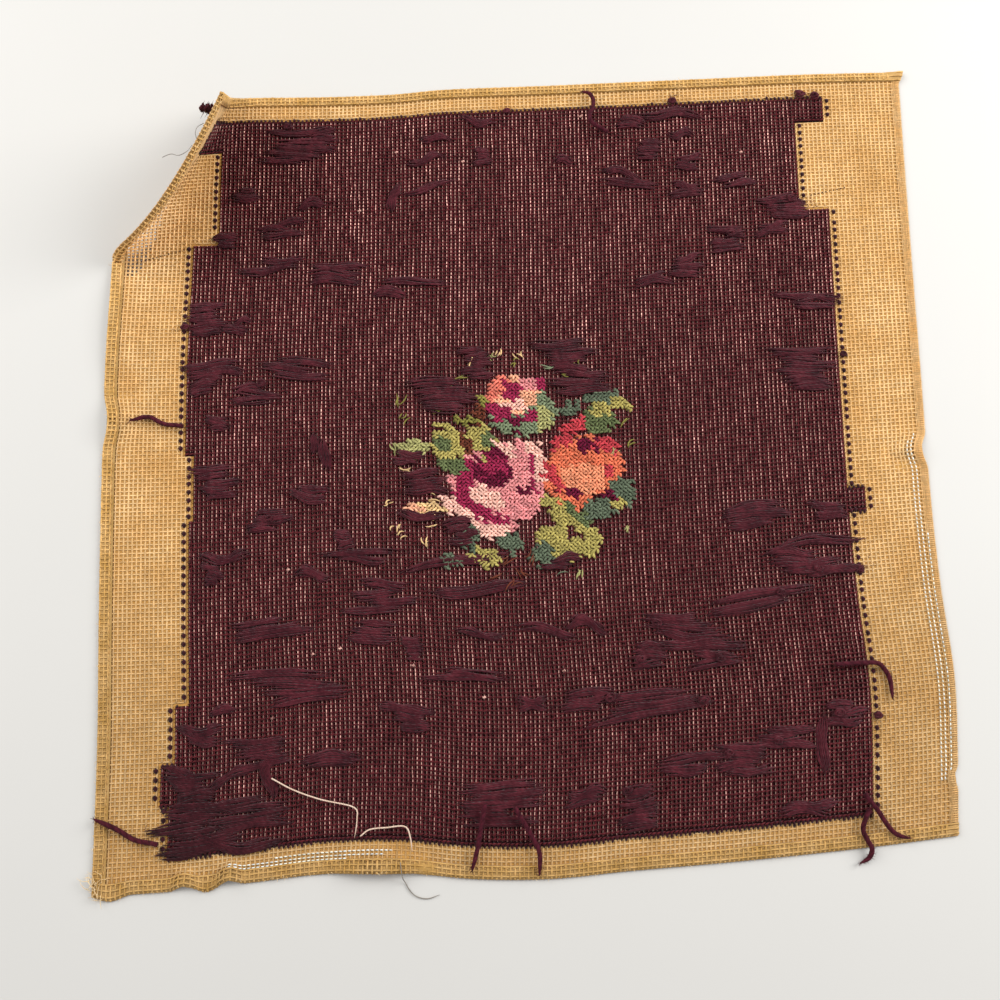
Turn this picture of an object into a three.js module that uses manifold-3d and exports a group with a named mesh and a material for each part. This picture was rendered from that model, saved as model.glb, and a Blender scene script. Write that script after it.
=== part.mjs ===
// A worked needlepoint canvas panel, lying wrong side up on a flat surface.
// Units are millimetres and +Z is up. The origin is the middle of the underside's box.
// Every cloth piece follows one surface, written in columns and rows of the canvas mesh.

import * as THREE from 'three';
import Module from 'manifold-3d';
import { mergeVertices } from 'three/addons/utils/BufferGeometryUtils.js';

// Counts of the canvas mesh, and its usual pitch
const COLUMNS = 190;
const ROWS = 196;
const PITCH = { column: 2.56, row: 2.42 };

// Colours of the three cloth pieces
const TAN = 0xe0b26c;
const MAROON = 0x4b1f2c;
const ROSE = 0xc9797a;

// Thicknesses
const CANVAS_THICK = 1.1;
const HEM_THICK = 2.2;
const SELVEDGE_THICK = 1.5;
const WOOL_THICK = 1.5;
const GAP = 0.3;

// Hem and selvedge widths, in columns or rows, and the short step down from them
const HEM = { left: 2.9, top: 2.6, bottom: 2.8, step: 0.3 };
const SELVEDGE_WIDTH = 1.8;

// The middle of the lying panel's box, taken off every point
const MIDDLE = { x: 9.975, y: 29.578 };

// The flat outline: where each edge runs
const TOP_EDGE = table('x y', [
  [-240, 260], [-127, 259.5], [-70, 261.5], [-36, 265], [32, 268], [133, 273], [196, 276], [253, 277.5],
]);
const BOTTOM_EDGE = table('x y', [
  [-217.5, -216], [-170, -213], [-130, -208.5], [-95, -204.5], [-55, -203.5], [-15, -207],
  [27, -207], [69, -203], [129, -198], [198, -191], [247, -185],
]);
const LEFT_EDGE = table('y x', [
  [260, -240], [150, -236], [85, -235], [0, -230.5], [-69, -226], [-139, -221], [-216, -217.5],
]);
const RIGHT_EDGE = table('y x', [
  [277.5, 253], [162, 251], [85, 250], [0, 249], [-50, 250], [-100, 253], [-140, 251], [-185, 247],
]);

// Short kinks of the edges: at and span in columns or rows, the rest in millimetres.
// push is outward, lift is height and reach is how far in from the edge it dies out.
const KINKS = table('edge at span push lift reach', [
  ['left', 88, 8, -4.0, 4.0, 30],
  ['left', 62, 22, -1.0, 2.5, 22],
  ['right', 0, 4, 2.5, 1.5, 10],
  ['right', 105, 5, -4.0, 3.0, 26],
  ['right', 183, 3, -2.0, 0.0, 10],
  ['bottom', 4, 5, 3.0, 0.0, 12],
  ['bottom', 20, 3, -2.5, 3.0, 14],
  ['bottom', 30, 3, -3.0, 4.0, 16],
  ['bottom', 25, 3, 2.0, 0.0, 10],
  ['bottom', 62, 12, 0.5, 5.0, 16],
]);

// The top-left margin stands up: an arc, then a straight wall that leans inward
const CURL = { start: 93, down: 112, power: 0.55, radius: 18.3, angle: 1.8, pull: 0.63 };

// The stitched ground, in bands of rows, with its outermost columns
const GROUND = table('from to left right', [
  [7, 14, 17, 172],
  [14, 16, 17, 165],
  [16, 39, 24, 165],
  [39, 42, 24, 172],
  [42, 97, 18, 172],
  [97, 113, 20, 172],
  [113, 119, 19, 176],
  [119, 156, 19, 172],
  [156, 169, 16, 172],
  [169, 178, 13, 172],
  [178, 189, 15, 172],
]);

// The bouquet's outline is the rim of these round lobes about its middle, in millimetres
const BOUQUET = { x: 5.0, y: 21.0, sides: 60 };
const LOBES = table('name x y radius', [
  ['middle', 4, -4, 52],
  ['bud', 1, 46, 25],
  ['pink_rose', -12, -2, 31],
  ['coral_rose', 44, 2, 27],
  ['left_leaf', -42, 19, 22],
  ['right_leaf', 52, 32, 19],
  ['left_spray', -52, -20, 17],
  ['right_low_leaf', 60, -20, 16],
  ['bottom_leaf', 28, -46, 20],
  ['bottom_left_leaf', -16, -44, 20],
  ['stem', 8, -56, 12],
]);

// Where darned-in ends make the ground thicker, in columns and rows. Each swelling dies out
// at DARN_SPREAD times its half size.
const DARN_SPREAD = 1.6;
const DARNS = table('column row half_length half_width height', [
  [30, 12, 10, 3, 1.0],
  [60, 16, 12, 4, 0.9],
  [118, 14, 9, 5, 1.1],
  [160, 30, 6, 5, 1.2],
  [118, 50, 14, 4, 0.8],
  [27, 62, 6, 6, 1.2],
  [150, 70, 14, 5, 0.9],
  [50, 96, 10, 4, 0.8],
  [150, 112, 14, 6, 1.0],
  [160, 128, 12, 4, 0.9],
  [60, 146, 12, 5, 0.8],
  [122, 143, 12, 5, 1.0],
  [34, 165, 12, 5, 1.0],
  [150, 162, 12, 6, 1.1],
  [22, 180, 9, 7, 1.3],
  [88, 182, 14, 7, 1.1],
]);

// Loose ends, with the plan positions of each route. They lie on whatever is below them,
// a clearance away from its edges.
const YARN = { size: 2.6, colour: MAROON };
const THREAD = { size: 0.8, colour: 0xe8d5a8 };
const HAIR = { size: 0.5, colour: 0x8a8178 };
const CLEARANCE = 1.8;
const LOOSE_ENDS = table('name kind route', [
  ['yarn_tail_left', YARN, [[-185, 43], [-197, 45], [-206, 49], [-216, 46]]],
  ['yarn_tail_bottom_left', YARN, [[-183, -189], [-196, -187], [-207, -181], [-219, -176]]],
  ['yarn_tail_right', YARN, [[186, -94], [203, -93], [211, -94], [216, -101], [217, -113]]],
  ['yarn_tail_corner_short', YARN, [[197, -163], [203, -171], [208, -179], [213, -184], [220, -186]]],
  ['yarn_tail_corner_long', YARN,
    [[199, -171], [196, -177], [195, -182], [197, -187], [199, -191], [198, -196], [193, -199]]],
  ['yarn_tail_bottom_low', YARN, [[-8, -168], [-9, -174], [-12, -191], [-15, -203]]],
  ['yarn_tail_bottom_high', YARN, [[8, -170], [16, -183], [21, -193], [21, -205]]],
  ['yarn_tail_top', YARN,
    [[67, 233], [62, 236], [57, 240], [56, 245], [58, 250], [58.5, 256], [56, 261], [51, 262]]],
  ['cream_thread_long', THREAD,
    [[-124, -155], [-112, -161], [-97, -166], [-79, -170], [-77, -176], [-78, -186]]],
  ['cream_thread_low', THREAD,
    [[-75, -185], [-70, -181.5], [-61, -180.5], [-51, -180], [-48, -186], [-47, -193]]],
  ['grey_thread', HAIR, [[-53, -198], [-51, -208], [-46, -215], [-39, -217], [-32, -215]]],
]);

// Rows of a table as objects, with the names of their columns
function table(names, rows) {
  const keys = names.split(' ');
  return rows.map((row) => Object.fromEntries(keys.map((key, i) => [key, row[i]])));
}

function clamp(value, low, high) {
  return Math.min(high, Math.max(low, value));
}

function mix(a, b, share) {
  return a + (b - a) * share;
}

// A smooth curve through the points of an edge table, read at one place along it
function onEdge(points, along, across, at) {
  const rising = points.at(-1)[along] > points[0][along];
  const beyond = points.findIndex((point) => (rising ? point[along] >= at : point[along] <= at));
  const i = beyond < 0 ? points.length - 1 : Math.max(beyond, 1);
  const slope = (k) => {
    const before = points[Math.max(k - 1, 0)];
    const after = points[Math.min(k + 1, points.length - 1)];
    return (after[across] - before[across]) / (after[along] - before[along]);
  };
  const [a, b] = [points[i - 1], points[i]];
  const span = b[along] - a[along];
  const t = (at - a[along]) / span;
  const rise = a[across] * (1 + 2 * t) * (1 - t) ** 2 + b[across] * t * t * (3 - 2 * t);
  return rise + span * (slope(i - 1) * t * (1 - t) ** 2 - slope(i) * t * t * (1 - t));
}

// The flat sheet: a patch between its four edges
function layFlat(column, row) {
  const s = column / COLUMNS;
  const t = row / ROWS;
  const topX = mix(TOP_EDGE[0].x, TOP_EDGE.at(-1).x, s);
  const bottomX = mix(BOTTOM_EDGE[0].x, BOTTOM_EDGE.at(-1).x, s);
  const leftY = mix(LEFT_EDGE[0].y, LEFT_EDGE.at(-1).y, t);
  const rightY = mix(RIGHT_EDGE[0].y, RIGHT_EDGE.at(-1).y, t);
  const bowLeft = onEdge(LEFT_EDGE, 'y', 'x', leftY) - mix(TOP_EDGE[0].x, BOTTOM_EDGE[0].x, t);
  const bowRight = onEdge(RIGHT_EDGE, 'y', 'x', rightY) - mix(TOP_EDGE.at(-1).x, BOTTOM_EDGE.at(-1).x, t);
  const bowTop = onEdge(TOP_EDGE, 'x', 'y', topX) - mix(LEFT_EDGE[0].y, RIGHT_EDGE[0].y, s);
  const bowBottom = onEdge(BOTTOM_EDGE, 'x', 'y', bottomX) - mix(LEFT_EDGE.at(-1).y, RIGHT_EDGE.at(-1).y, s);
  return {
    x: mix(topX, bottomX, t) + mix(bowLeft, bowRight, s),
    y: mix(leftY, rightY, s) + mix(bowTop, bowBottom, t),
    z: 0,
  };
}

// A round bump that is 1 in its middle and 0 one span away
function bump(away) {
  return Math.abs(away) < 1 ? (1 + Math.cos(Math.PI * away)) / 2 : 0;
}

// The edges' short kinks, added to a flat point
function kink(point, column, row) {
  const edges = {
    left: { along: row, depth: column * PITCH.column, x: -1, y: 0 },
    right: { along: row, depth: (COLUMNS - column) * PITCH.column, x: 1, y: 0 },
    bottom: { along: column, depth: (ROWS - row) * PITCH.row, x: 0, y: -1 },
  };
  for (const { edge, at, span, push, lift, reach } of KINKS) {
    const { along, depth, x, y } = edges[edge];
    const share = bump((along - at) / span) * bump(depth / reach);
    point.x += x * push * share;
    point.y += y * push * share;
    point.z += lift * share;
  }
  return point;
}

// The standing corner: turns the part of a row left of the bend's start up and over
function curl(point) {
  const down = TOP_EDGE[0].y - point.y;
  const width = CURL.start * clamp(1 - down / CURL.down, 0, 1) ** CURL.power;
  const start = onEdge(LEFT_EDGE, 'y', 'x', point.y) + width;
  const past = start - point.x;
  if (width === 0 || past <= 0) return point;
  const bend = Math.min(past, CURL.radius * CURL.angle);
  const turn = bend / CURL.radius;
  const out = CURL.radius * Math.sin(turn) + (past - bend) * Math.cos(CURL.angle);
  const up = CURL.radius * (1 - Math.cos(turn)) + (past - bend) * Math.sin(CURL.angle);
  return { x: start - out, y: point.y - CURL.pull * up, z: point.z + up };
}

// A point of the cloth's underside
function underside(column, row) {
  const { x, y, z } = curl(kink(layFlat(column, row), column, row));
  return new THREE.Vector3(x - MIDDLE.x, y - MIDDLE.y, z);
}

// A point at a height above the underside, square to the cloth
function onCloth(column, row, height) {
  const step = 0.5;
  const across = underside(column + step, row).sub(underside(column - step, row));
  const down = underside(column, row + step).sub(underside(column, row - step));
  const normal = down.cross(across).normalize();
  return underside(column, row).addScaledVector(normal, height);
}

// Plain numbers from first to last, a step apart
function steps(first, last, step) {
  const count = Math.round((last - first) / step);
  return Array.from({ length: count + 1 }, (_, i) => first + i * step);
}

// One closed slab over the cells of a grid that belong to it
function slab(columns, rows, belongs, low, high) {
  const wide = columns.length;
  const layer = wide * rows.length;
  const positions = [];
  for (const height of [low, high]) {
    for (const row of rows) {
      for (const column of columns) {
        const point = onCloth(column, row, height(column, row));
        positions.push(point.x, point.y, point.z);
      }
    }
  }
  const index = [];
  const quad = (a, b, c, d) => index.push(a, b, c, a, c, d);
  const inside = (i, j) => i >= 0 && j >= 0 && i < wide - 1 && j < rows.length - 1
    && belongs((columns[i] + columns[i + 1]) / 2, (rows[j] + rows[j + 1]) / 2);
  for (let j = 0; j < rows.length - 1; j += 1) {
    for (let i = 0; i < wide - 1; i += 1) {
      if (!inside(i, j)) continue;
      const [a, b, c, d] = [j * wide + i, j * wide + i + 1, (j + 1) * wide + i + 1, (j + 1) * wide + i];
      quad(a, b, c, d);
      quad(d + layer, c + layer, b + layer, a + layer);
      if (!inside(i, j - 1)) quad(b, a, a + layer, b + layer);
      if (!inside(i, j + 1)) quad(d, c, c + layer, d + layer);
      if (!inside(i - 1, j)) quad(a, d, d + layer, a + layer);
      if (!inside(i + 1, j)) quad(c, b, b + layer, c + layer);
    }
  }
  const geometry = new THREE.BufferGeometry();
  geometry.setAttribute('position', new THREE.Float32BufferAttribute(positions, 3));
  geometry.setIndex(index);
  return mergeVertices(geometry.toNonIndexed());
}

function piece(name, geometry, colour) {
  geometry.computeVertexNormals();
  const material = new THREE.MeshStandardMaterial({ color: colour, roughness: 0.95, metalness: 0, name });
  const mesh = new THREE.Mesh(geometry, material);
  mesh.name = name;
  return mesh;
}

// Grid lines over the standing corner, which the canvas and the ground share so that they stay apart
const CURL_COLUMNS = [13, 15, 16, 17, 18, 19, 20, 22, 24, ...steps(26, 40, 2)];
const CURL_ROWS = [7, 10, 14, 16, ...steps(19, 37, 3), 39, 42, 45, 48];

function clothColumns() {
  const selvedge = COLUMNS - SELVEDGE_WIDTH;
  return [0, HEM.left, HEM.left + HEM.step, 6, 8, 10.5, ...CURL_COLUMNS, ...steps(50, 182, 12), 185,
    selvedge - HEM.step, selvedge, COLUMNS];
}

function clothRows() {
  const bottom = ROWS - HEM.bottom;
  return [0, HEM.top, HEM.top + HEM.step, 5, ...CURL_ROWS, ...steps(54, 82, 7), ...steps(85, 111, 3.25),
    ...steps(119, 175, 14), 182, 189.4, bottom - HEM.step, bottom, ROWS];
}

function canvasTop(column, row) {
  const hemmed = column <= HEM.left || row <= HEM.top || row >= ROWS - HEM.bottom;
  if (hemmed) return HEM_THICK;
  return column >= COLUMNS - SELVEDGE_WIDTH ? SELVEDGE_THICK : CANVAS_THICK;
}

function makeCanvas() {
  const geometry = slab(clothColumns(), clothRows(), () => true, () => 0, canvasTop);
  return piece('canvas', geometry, TAN);
}

function isGround(column, row) {
  return GROUND.some((band) => row > band.from && row < band.to && column > band.left && column < band.right);
}

// How much darned-in ends add to the ground's thickness at one place
function darned(column, row) {
  const swell = DARNS.map((darn) => darn.height
    * bump((column - darn.column) / (DARN_SPREAD * darn.half_length))
    * bump((row - darn.row) / (DARN_SPREAD * darn.half_width)));
  return Math.max(...swell);
}

// The bouquet's rim, seen from its middle: the furthest reach of any lobe each way
function bouquetRim(margin) {
  return Array.from({ length: BOUQUET.sides }, (_, i) => {
    const angle = (2 * Math.PI * i) / BOUQUET.sides;
    const [cos, sin] = [Math.cos(angle), Math.sin(angle)];
    const reaches = LOBES.map(({ x, y, radius }) => {
      const near = x * cos + y * sin;
      const aside = x * sin - y * cos;
      return Math.abs(aside) < radius ? near + Math.sqrt(radius ** 2 - aside ** 2) : 0;
    });
    const reach = Math.max(...reaches) + margin;
    return new THREE.Vector2(BOUQUET.x - MIDDLE.x + reach * cos, BOUQUET.y - MIDDLE.y + reach * sin);
  });
}

function bouquetPrism(margin, bottom, height) {
  const geometry = new THREE.ExtrudeGeometry(new THREE.Shape(bouquetRim(margin)), {
    depth: height,
    bevelEnabled: false,
  });
  geometry.translate(0, 0, bottom);
  return geometry;
}

function toSolid(wasm, geometry) {
  geometry.deleteAttribute('normal');
  geometry.deleteAttribute('uv');
  const merged = mergeVertices(geometry);
  return new wasm.Manifold(new wasm.Mesh({
    numProp: 3,
    vertProperties: merged.attributes.position.array,
    triVerts: new Uint32Array(merged.index.array),
  }));
}

function toGeometry(solid) {
  const mesh = solid.getMesh();
  const geometry = new THREE.BufferGeometry();
  geometry.setAttribute('position', new THREE.BufferAttribute(mesh.vertProperties, 3));
  geometry.setIndex(new THREE.BufferAttribute(mesh.triVerts, 1));
  return geometry;
}

function makeGround(wasm) {
  const columns = [...CURL_COLUMNS, ...steps(48, 153, 7.5), 159, 165, 172, 176];
  const rows = [...CURL_ROWS, ...steps(54, 90, 6), 97, 103, 108, 113, 119, ...steps(125, 149, 6), 156, 162, 169,
    174, 178, 184, 189];
  const bottom = CANVAS_THICK + GAP;
  const top = (column, row) => bottom + WOOL_THICK + darned(column, row);
  const geometry = slab(columns, rows, isGround, () => bottom, top);
  const throughAll = bottom + 3 * WOOL_THICK;
  const hole = toSolid(wasm, bouquetPrism(GAP, 0, throughAll));
  return piece('wool_ground', toGeometry(toSolid(wasm, geometry).subtract(hole)), MAROON);
}

function makeBouquet() {
  const geometry = bouquetPrism(0, CANVAS_THICK + GAP, WOOL_THICK);
  return piece('rose_bouquet', geometry, ROSE);
}

// The tops of the pieces, found by looking straight down on them
function heightFinder(meshes) {
  const aboveAll = 500;
  const ray = new THREE.Raycaster();
  const down = new THREE.Vector3(0, 0, -1);
  return (x, y) => {
    ray.set(new THREE.Vector3(x, y, aboveAll), down);
    const hit = ray.intersectObjects(meshes, false)[0];
    return hit ? hit.point.z : 0;
  };
}

// A round section for the loose ends
function roundSection(radius) {
  const sides = 8;
  return new THREE.Shape(Array.from({ length: sides }, (_, i) => {
    const angle = (2 * Math.PI * i) / sides;
    return new THREE.Vector2(radius * Math.cos(angle), radius * Math.sin(angle));
  }));
}

// A loose end: its route in plan, laid on the highest top around each of its points
function makeLooseEnd({ name, kind, route }, topAt) {
  const flat = route.map(([x, y]) => new THREE.Vector3(x - MIDDLE.x, y - MIDDLE.y, 0));
  const plan = new THREE.CatmullRomCurve3(flat);
  const spacing = 2.5 * kind.size;
  const count = Math.ceil(plan.getLength() / spacing);
  const reach = kind.size + CLEARANCE;
  const around = steps(-1, 1, 0.5);
  const points = plan.getSpacedPoints(count).map(({ x, y }) => {
    const tops = around.flatMap((i) => around.map((j) => topAt(x + i * reach, y + j * reach)));
    return new THREE.Vector3(x, y, Math.max(...tops) + GAP + kind.size / 2);
  });
  const geometry = new THREE.ExtrudeGeometry(roundSection(kind.size / 2), {
    steps: count,
    extrudePath: new THREE.CatmullRomCurve3(points),
    bevelEnabled: false,
  });
  return piece(name, geometry, kind.colour);
}

async function makePanel() {
  const wasm = await Module();
  wasm.setup();
  const cloth = [makeCanvas(), makeGround(wasm), makeBouquet()];
  cloth.forEach((mesh) => {
    mesh.material.side = THREE.DoubleSide;
  });
  const topAt = heightFinder(cloth);
  const panel = new THREE.Group();
  panel.add(...cloth, ...LOOSE_ENDS.map((end) => makeLooseEnd(end, topAt)));
  return panel;
}

export default await makePanel();
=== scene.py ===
"""A worked needlepoint canvas panel, lying wrong side up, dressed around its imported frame.

Places on the cloth are written in columns and rows of the canvas mesh, counted from its
top-left corner. Sizes are in millimetres and become metres where a mesh is made.
"""

import math

import bpy
import numpy as np
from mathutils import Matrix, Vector


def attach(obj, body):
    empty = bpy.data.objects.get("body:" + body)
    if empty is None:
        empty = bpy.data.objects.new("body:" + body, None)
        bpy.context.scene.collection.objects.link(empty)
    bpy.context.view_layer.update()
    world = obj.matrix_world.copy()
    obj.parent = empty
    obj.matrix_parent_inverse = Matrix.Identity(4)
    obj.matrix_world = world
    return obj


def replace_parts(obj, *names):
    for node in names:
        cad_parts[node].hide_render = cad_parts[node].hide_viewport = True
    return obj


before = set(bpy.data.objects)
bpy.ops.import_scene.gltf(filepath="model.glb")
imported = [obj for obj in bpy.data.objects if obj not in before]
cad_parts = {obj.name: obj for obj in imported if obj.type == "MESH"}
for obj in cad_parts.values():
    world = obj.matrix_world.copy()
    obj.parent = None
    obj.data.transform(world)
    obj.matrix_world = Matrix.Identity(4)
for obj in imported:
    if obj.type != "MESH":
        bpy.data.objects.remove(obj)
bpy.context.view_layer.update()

bl_info = {
    "name": "Needlepoint canvas panel",
    "version": (1, 0, 0),
    "blender": (4, 5, 0),
    "location": "View3D > Sidebar > Needlepoint",
    "description": "Canvas, wool stitches and loose ends of a worked needlepoint panel",
    "category": "Add Mesh",
}

MM = 0.001
SEED = 7

# The canvas mesh and the middle of the lying sheet, as in the solids
COLUMNS = 190
ROWS = 196
PITCH_COLUMN = 2.56
PITCH_ROW = 2.42
MIDDLE = np.array((9.975, 29.578, 0.0))
HEM_LEFT = 2.9
HEM_TOP = 2.6
HEM_BOTTOM = 2.8
SELVEDGE = 1.8

# The thin cotton sheet behind the threads: its faces' heights over the underside
SHEET_LOW = 0.4
SHEET_HIGH = 0.6

# Canvas threads run in close pairs, drawn as one band, a quarter into each cell
PAIR_LINE = 0.25
PAIR_WIDTH = 2.05
WEAVE = 0.2
WARP_HEIGHT = 0.9
WEFT_HEIGHT = 0.8
SELVEDGE_HEIGHT = 1.0
REVERSE_WARP = 0.3
REVERSE_WEFT = 0.2

# The other side is woven too where the underside is lifted above this height
LIFTED = 0.6

# Heights of the wool: uprights and the bare cotton beside them, the layer under the bouquet,
# the darned-in yarn, the floats over the bouquet, and the two faces of the hidden face side
UPRIGHT_HEIGHT = 1.0
BARE_HEIGHT = 1.3
UNDERLAY_HEIGHT = 1.0
DARN_HEIGHT = 1.5
FLOAT_HEIGHT = 2.2
FACE_LOW = 0.02
FACE_HIGH = 0.36

# Columns and rows that bend with the standing corner, so they are drawn finely
CORNER_COLUMNS = 46
CORNER_ROWS = 50

# Canvas threads grow darker down the panel, from one row on over a span of rows: painted shade towards the
# bottom
DARKER_ROW = 110
DARKER_SPAN = 50
DARKER = 0.24

# The photograph's viewing angle: places in millimetres, lens and sensor too
CAMERA_PLACE = (-9.98, -142.64, 546.0)
CAMERA_TARGET = (-9.98, -29.57, 0.0)
CAMERA_LENS = 34.67
CAMERA_SENSOR = 36.0

# Where the flat sheet's edges run: x and y for the top and bottom, y and x for the sides
TOP_EDGE = (
    (-240, 260), (-127, 259.5), (-70, 261.5), (-36, 265),
    (32, 268), (133, 273), (196, 276), (253, 277.5),
)
BOTTOM_EDGE = (
    (-217.5, -216), (-170, -213), (-130, -208.5), (-95, -204.5), (-55, -203.5), (-15, -207),
    (27, -207), (69, -203), (129, -198), (198, -191), (247, -185),
)
LEFT_EDGE = (
    (260, -240), (150, -236), (85, -235), (0, -230.5), (-69, -226), (-139, -221), (-216, -217.5),
)
RIGHT_EDGE = (
    (277.5, 253), (162, 251), (85, 250), (0, 249), (-50, 250), (-100, 253), (-140, 251), (-185, 247),
)

# The standing corner: an arc, then a straight wall that leans inward
CURL_START = 93
CURL_DOWN = 112
CURL_POWER = 0.55
CURL_RADIUS = 18.3
CURL_ANGLE = 1.8
CURL_PULL = 0.63


def table(names, rows):
    """Rows of a table, with the names of their columns."""
    return [dict(zip(names.split(), row)) for row in rows]


# The tabletop, in metres, and the studio's even light
FLOOR_SIDE = 6.0
FLOOR_COLOURS = ("#C8C6C1", "#CBC9C4")
STUDIO_COLOUR = (0.98, 0.98, 1.0, 1)
STUDIO_STRENGTH = 0.5

# Studio lights over the origin: place and side in metres, power in watts
LIGHTS = table("name place side power", (
    ("key_light", (1.1, 0.4, 0.72), 0.8, 20.0),
    ("fill_light", (-0.95, 0.5, 0.95), 1.2, 17.5),
))

# A seed for each group of strands
SEEDS = {
    "stitches": 0, "uprights": 5, "turns": 6, "chart": 11, "bouquet": 13, "darns": 21, "knots": 22,
    "hairs": 31, "canvas": 100, "loops": 104, "dashes": 105,
}

# Short kinks of the edges: at and span in columns or rows, the rest in millimetres
KINKS = table("edge at span push lift reach", (
    ("left", 88, 8, -4.0, 4.0, 30), ("left", 62, 22, -1.0, 2.5, 22), ("right", 0, 4, 2.5, 1.5, 10),
    ("right", 105, 5, -4.0, 3.0, 26), ("right", 183, 3, -2.0, 0.0, 10), ("bottom", 4, 5, 3.0, 0.0, 12),
    ("bottom", 20, 3, -2.5, 3.0, 14), ("bottom", 30, 3, -3.0, 4.0, 16), ("bottom", 25, 3, 2.0, 0.0, 10),
    ("bottom", 62, 12, 0.5, 5.0, 16),
))

# The stitched ground, in bands of rows, with its outermost columns
GROUND = table("first last left right", (
    (7, 14, 17, 172), (14, 16, 17, 165), (16, 39, 24, 165), (39, 42, 24, 172), (42, 97, 18, 172),
    (97, 113, 20, 172), (113, 119, 19, 176), (119, 156, 19, 172), (156, 169, 16, 172),
    (169, 178, 13, 172), (178, 189, 15, 172),
))

FIELD_LEFT = min(band["left"] for band in GROUND)
FIELD_RIGHT = max(band["right"] for band in GROUND)
FIELD_TOP = GROUND[0]["first"]
FIELD_BOTTOM = GROUND[-1]["last"]

# The bouquet's middle on the lying sheet
BOUQUET = (5.0, 21.0)

# The flowers and leaves, as ovals about the bouquet's middle. A later oval covers an earlier
# one, and turn is in degrees.
MOTIF = table("x y long short turn colour", (
    (7, 33, 19, 15, 0, "sage"), (19, 29, 5, 8, 20, "pale_leaf"), (-16, 37, 3, 7, 0, "olive"),
    (-19, 30, 3, 6, 0, "rust"), (2, 44, 14, 11, 0, "peach"), (-7, 50, 6, 4, 30, "coral"),
    (-11, 43, 3, 7, 0, "coral"), (11, 50, 6, 4, 0, "pink"), (17, 48, 2.6, 6, -15, "crimson"),
    (2, 37, 9, 3.4, 0, "blush"), (-0.5, 46, 5.8, 5.4, 0, "crimson"), (-6, 32, 11, 4.2, -35, "crimson"),
    (3, 26, 5, 3, 0, "heart"), (12, 31, 4, 3.6, 0, "crimson"), (50, 28, 11, 8, 0, "green"),
    (54, 42, 11, 4, 0, "teal"), (53, 34, 7, 4.5, 20, "leaf"), (64, 38, 6, 4, -20, "leaf"),
    (34, 35, 7, 3, 25, "teal"), (43, 0, 21, 18.5, 0, "orange"), (37, 25, 7, 3.6, 35, "red"),
    (29, 15, 7, 4, 10, "red"), (55, 13, 7, 5, -30, "red"), (43, 13, 6, 5, 0, "heart"),
    (41, -7, 14, 9, 0, "apricot"), (60, 2, 5, 6, 0, "orange"), (56, -2, 3, 2, 30, "red"),
    (23, -8, 13, 6, -52, "orange"), (22, -4, 14, 3.2, -56, "red"), (36, -20, 9, 4, -12, "orange"),
    (36, -15, 4, 2.8, 0, "heart"), (-9, -12, 27, 27, 0, "pink"), (-28, -26, 15, 5, -35, "blush"),
    (-7, 12, 11, 4, -35, "blush"), (-27, -9, 5, 14, -12, "crimson"),
    (-20, -24, 13, 4.6, -36, "crimson"), (-7, -31, 10, 3.4, 0, "crimson"),
    (-15, -18, 12, 5, -28, "blush"), (-11, -38, 11, 4, 0, "blush"), (4, -24, 11, 7, 20, "pink"),
    (-11, -1, 11.5, 11.5, 0, "heart"), (-11, 0, 8, 6, 10, "crimson"), (-17, 4, 2.5, 1.6, 30, "leaf"),
    (6, 4, 4, 13, 6, "pink"), (11.5, -1, 1.8, 13, 8, "crimson"), (15.5, 1, 3, 13, 6, "blush"),
    (10, 11, 5, 3.4, 0, "blush"), (7, -14, 3, 3, 0, "heart"), (-58, 12, 10, 4.5, 5, "pale_leaf"),
    (-37, 14, 12, 9, 0, "leaf"), (-40, 13, 5, 5, 0, "green"), (-35, 1, 9, 4.6, 0, "green"),
    (-19, 17, 9, 8, 0, "leaf"), (-14, 16, 3, 5, 0, "green"), (-27, 14, 1.5, 8, 18, "rust"),
    (-41, 25, 6, 2, 0, "leaf"), (-25, 28, 9, 1.6, 8, "olive"), (-51, -25, 12, 3.2, 8, "cream"),
    (-56, -25, 6, 2.2, 0, "peach"), (28, -26, 14, 6, -28, "leaf"), (38, -28, 9, 3, -40, "green"),
    (32, -43, 19, 11, 0, "leaf"), (17, -51, 6, 6, 0, "teal"), (50, -25, 9, 6, 0, "teal"),
    (64, -14, 8, 8, -30, "teal"), (61, -21, 5, 3, 0, "leaf"), (57, -17, 4, 2.6, 0, "heart"),
    (-24, -41, 5.5, 7, 0, "teal"), (-1, -45, 8, 5, 0, "teal"), (-15, -53, 9, 5, 0, "leaf"),
    (-34, -55, 5, 4, 0, "teal"),
))

# Dark gaps in the leaves, where the ground shows: ovals as above
LEAF_GAPS = table("x y long short turn", (
    (21, -29, 2.5, 3.5, 0), (36, -39, 8, 2.6, -30), (-15, -53, 3, 1.6, 0), (9, -35, 6, 3, 0),
    (62, 31, 3, 2.5, 0), (-2, 20, 9, 1.4, 10),
))

# Wools of the bouquet
WOOLS = {
    "peach": "#F0B08C",
    "coral": "#E27C68",
    "apricot": "#E89670",
    "orange": "#DE7654",
    "pink": "#E08F8E",
    "blush": "#F2BEAC",
    "red": "#C04048",
    "crimson": "#9A264A",
    "heart": "#66102F",
    "leaf": "#AEA05A",
    "pale_leaf": "#A9A56B",
    "olive": "#857F3C",
    "green": "#667048",
    "teal": "#5F6A55",
    "sage": "#7B8667",
    "rust": "#6E3826",
    "cream": "#E9C48C",
}

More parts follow.
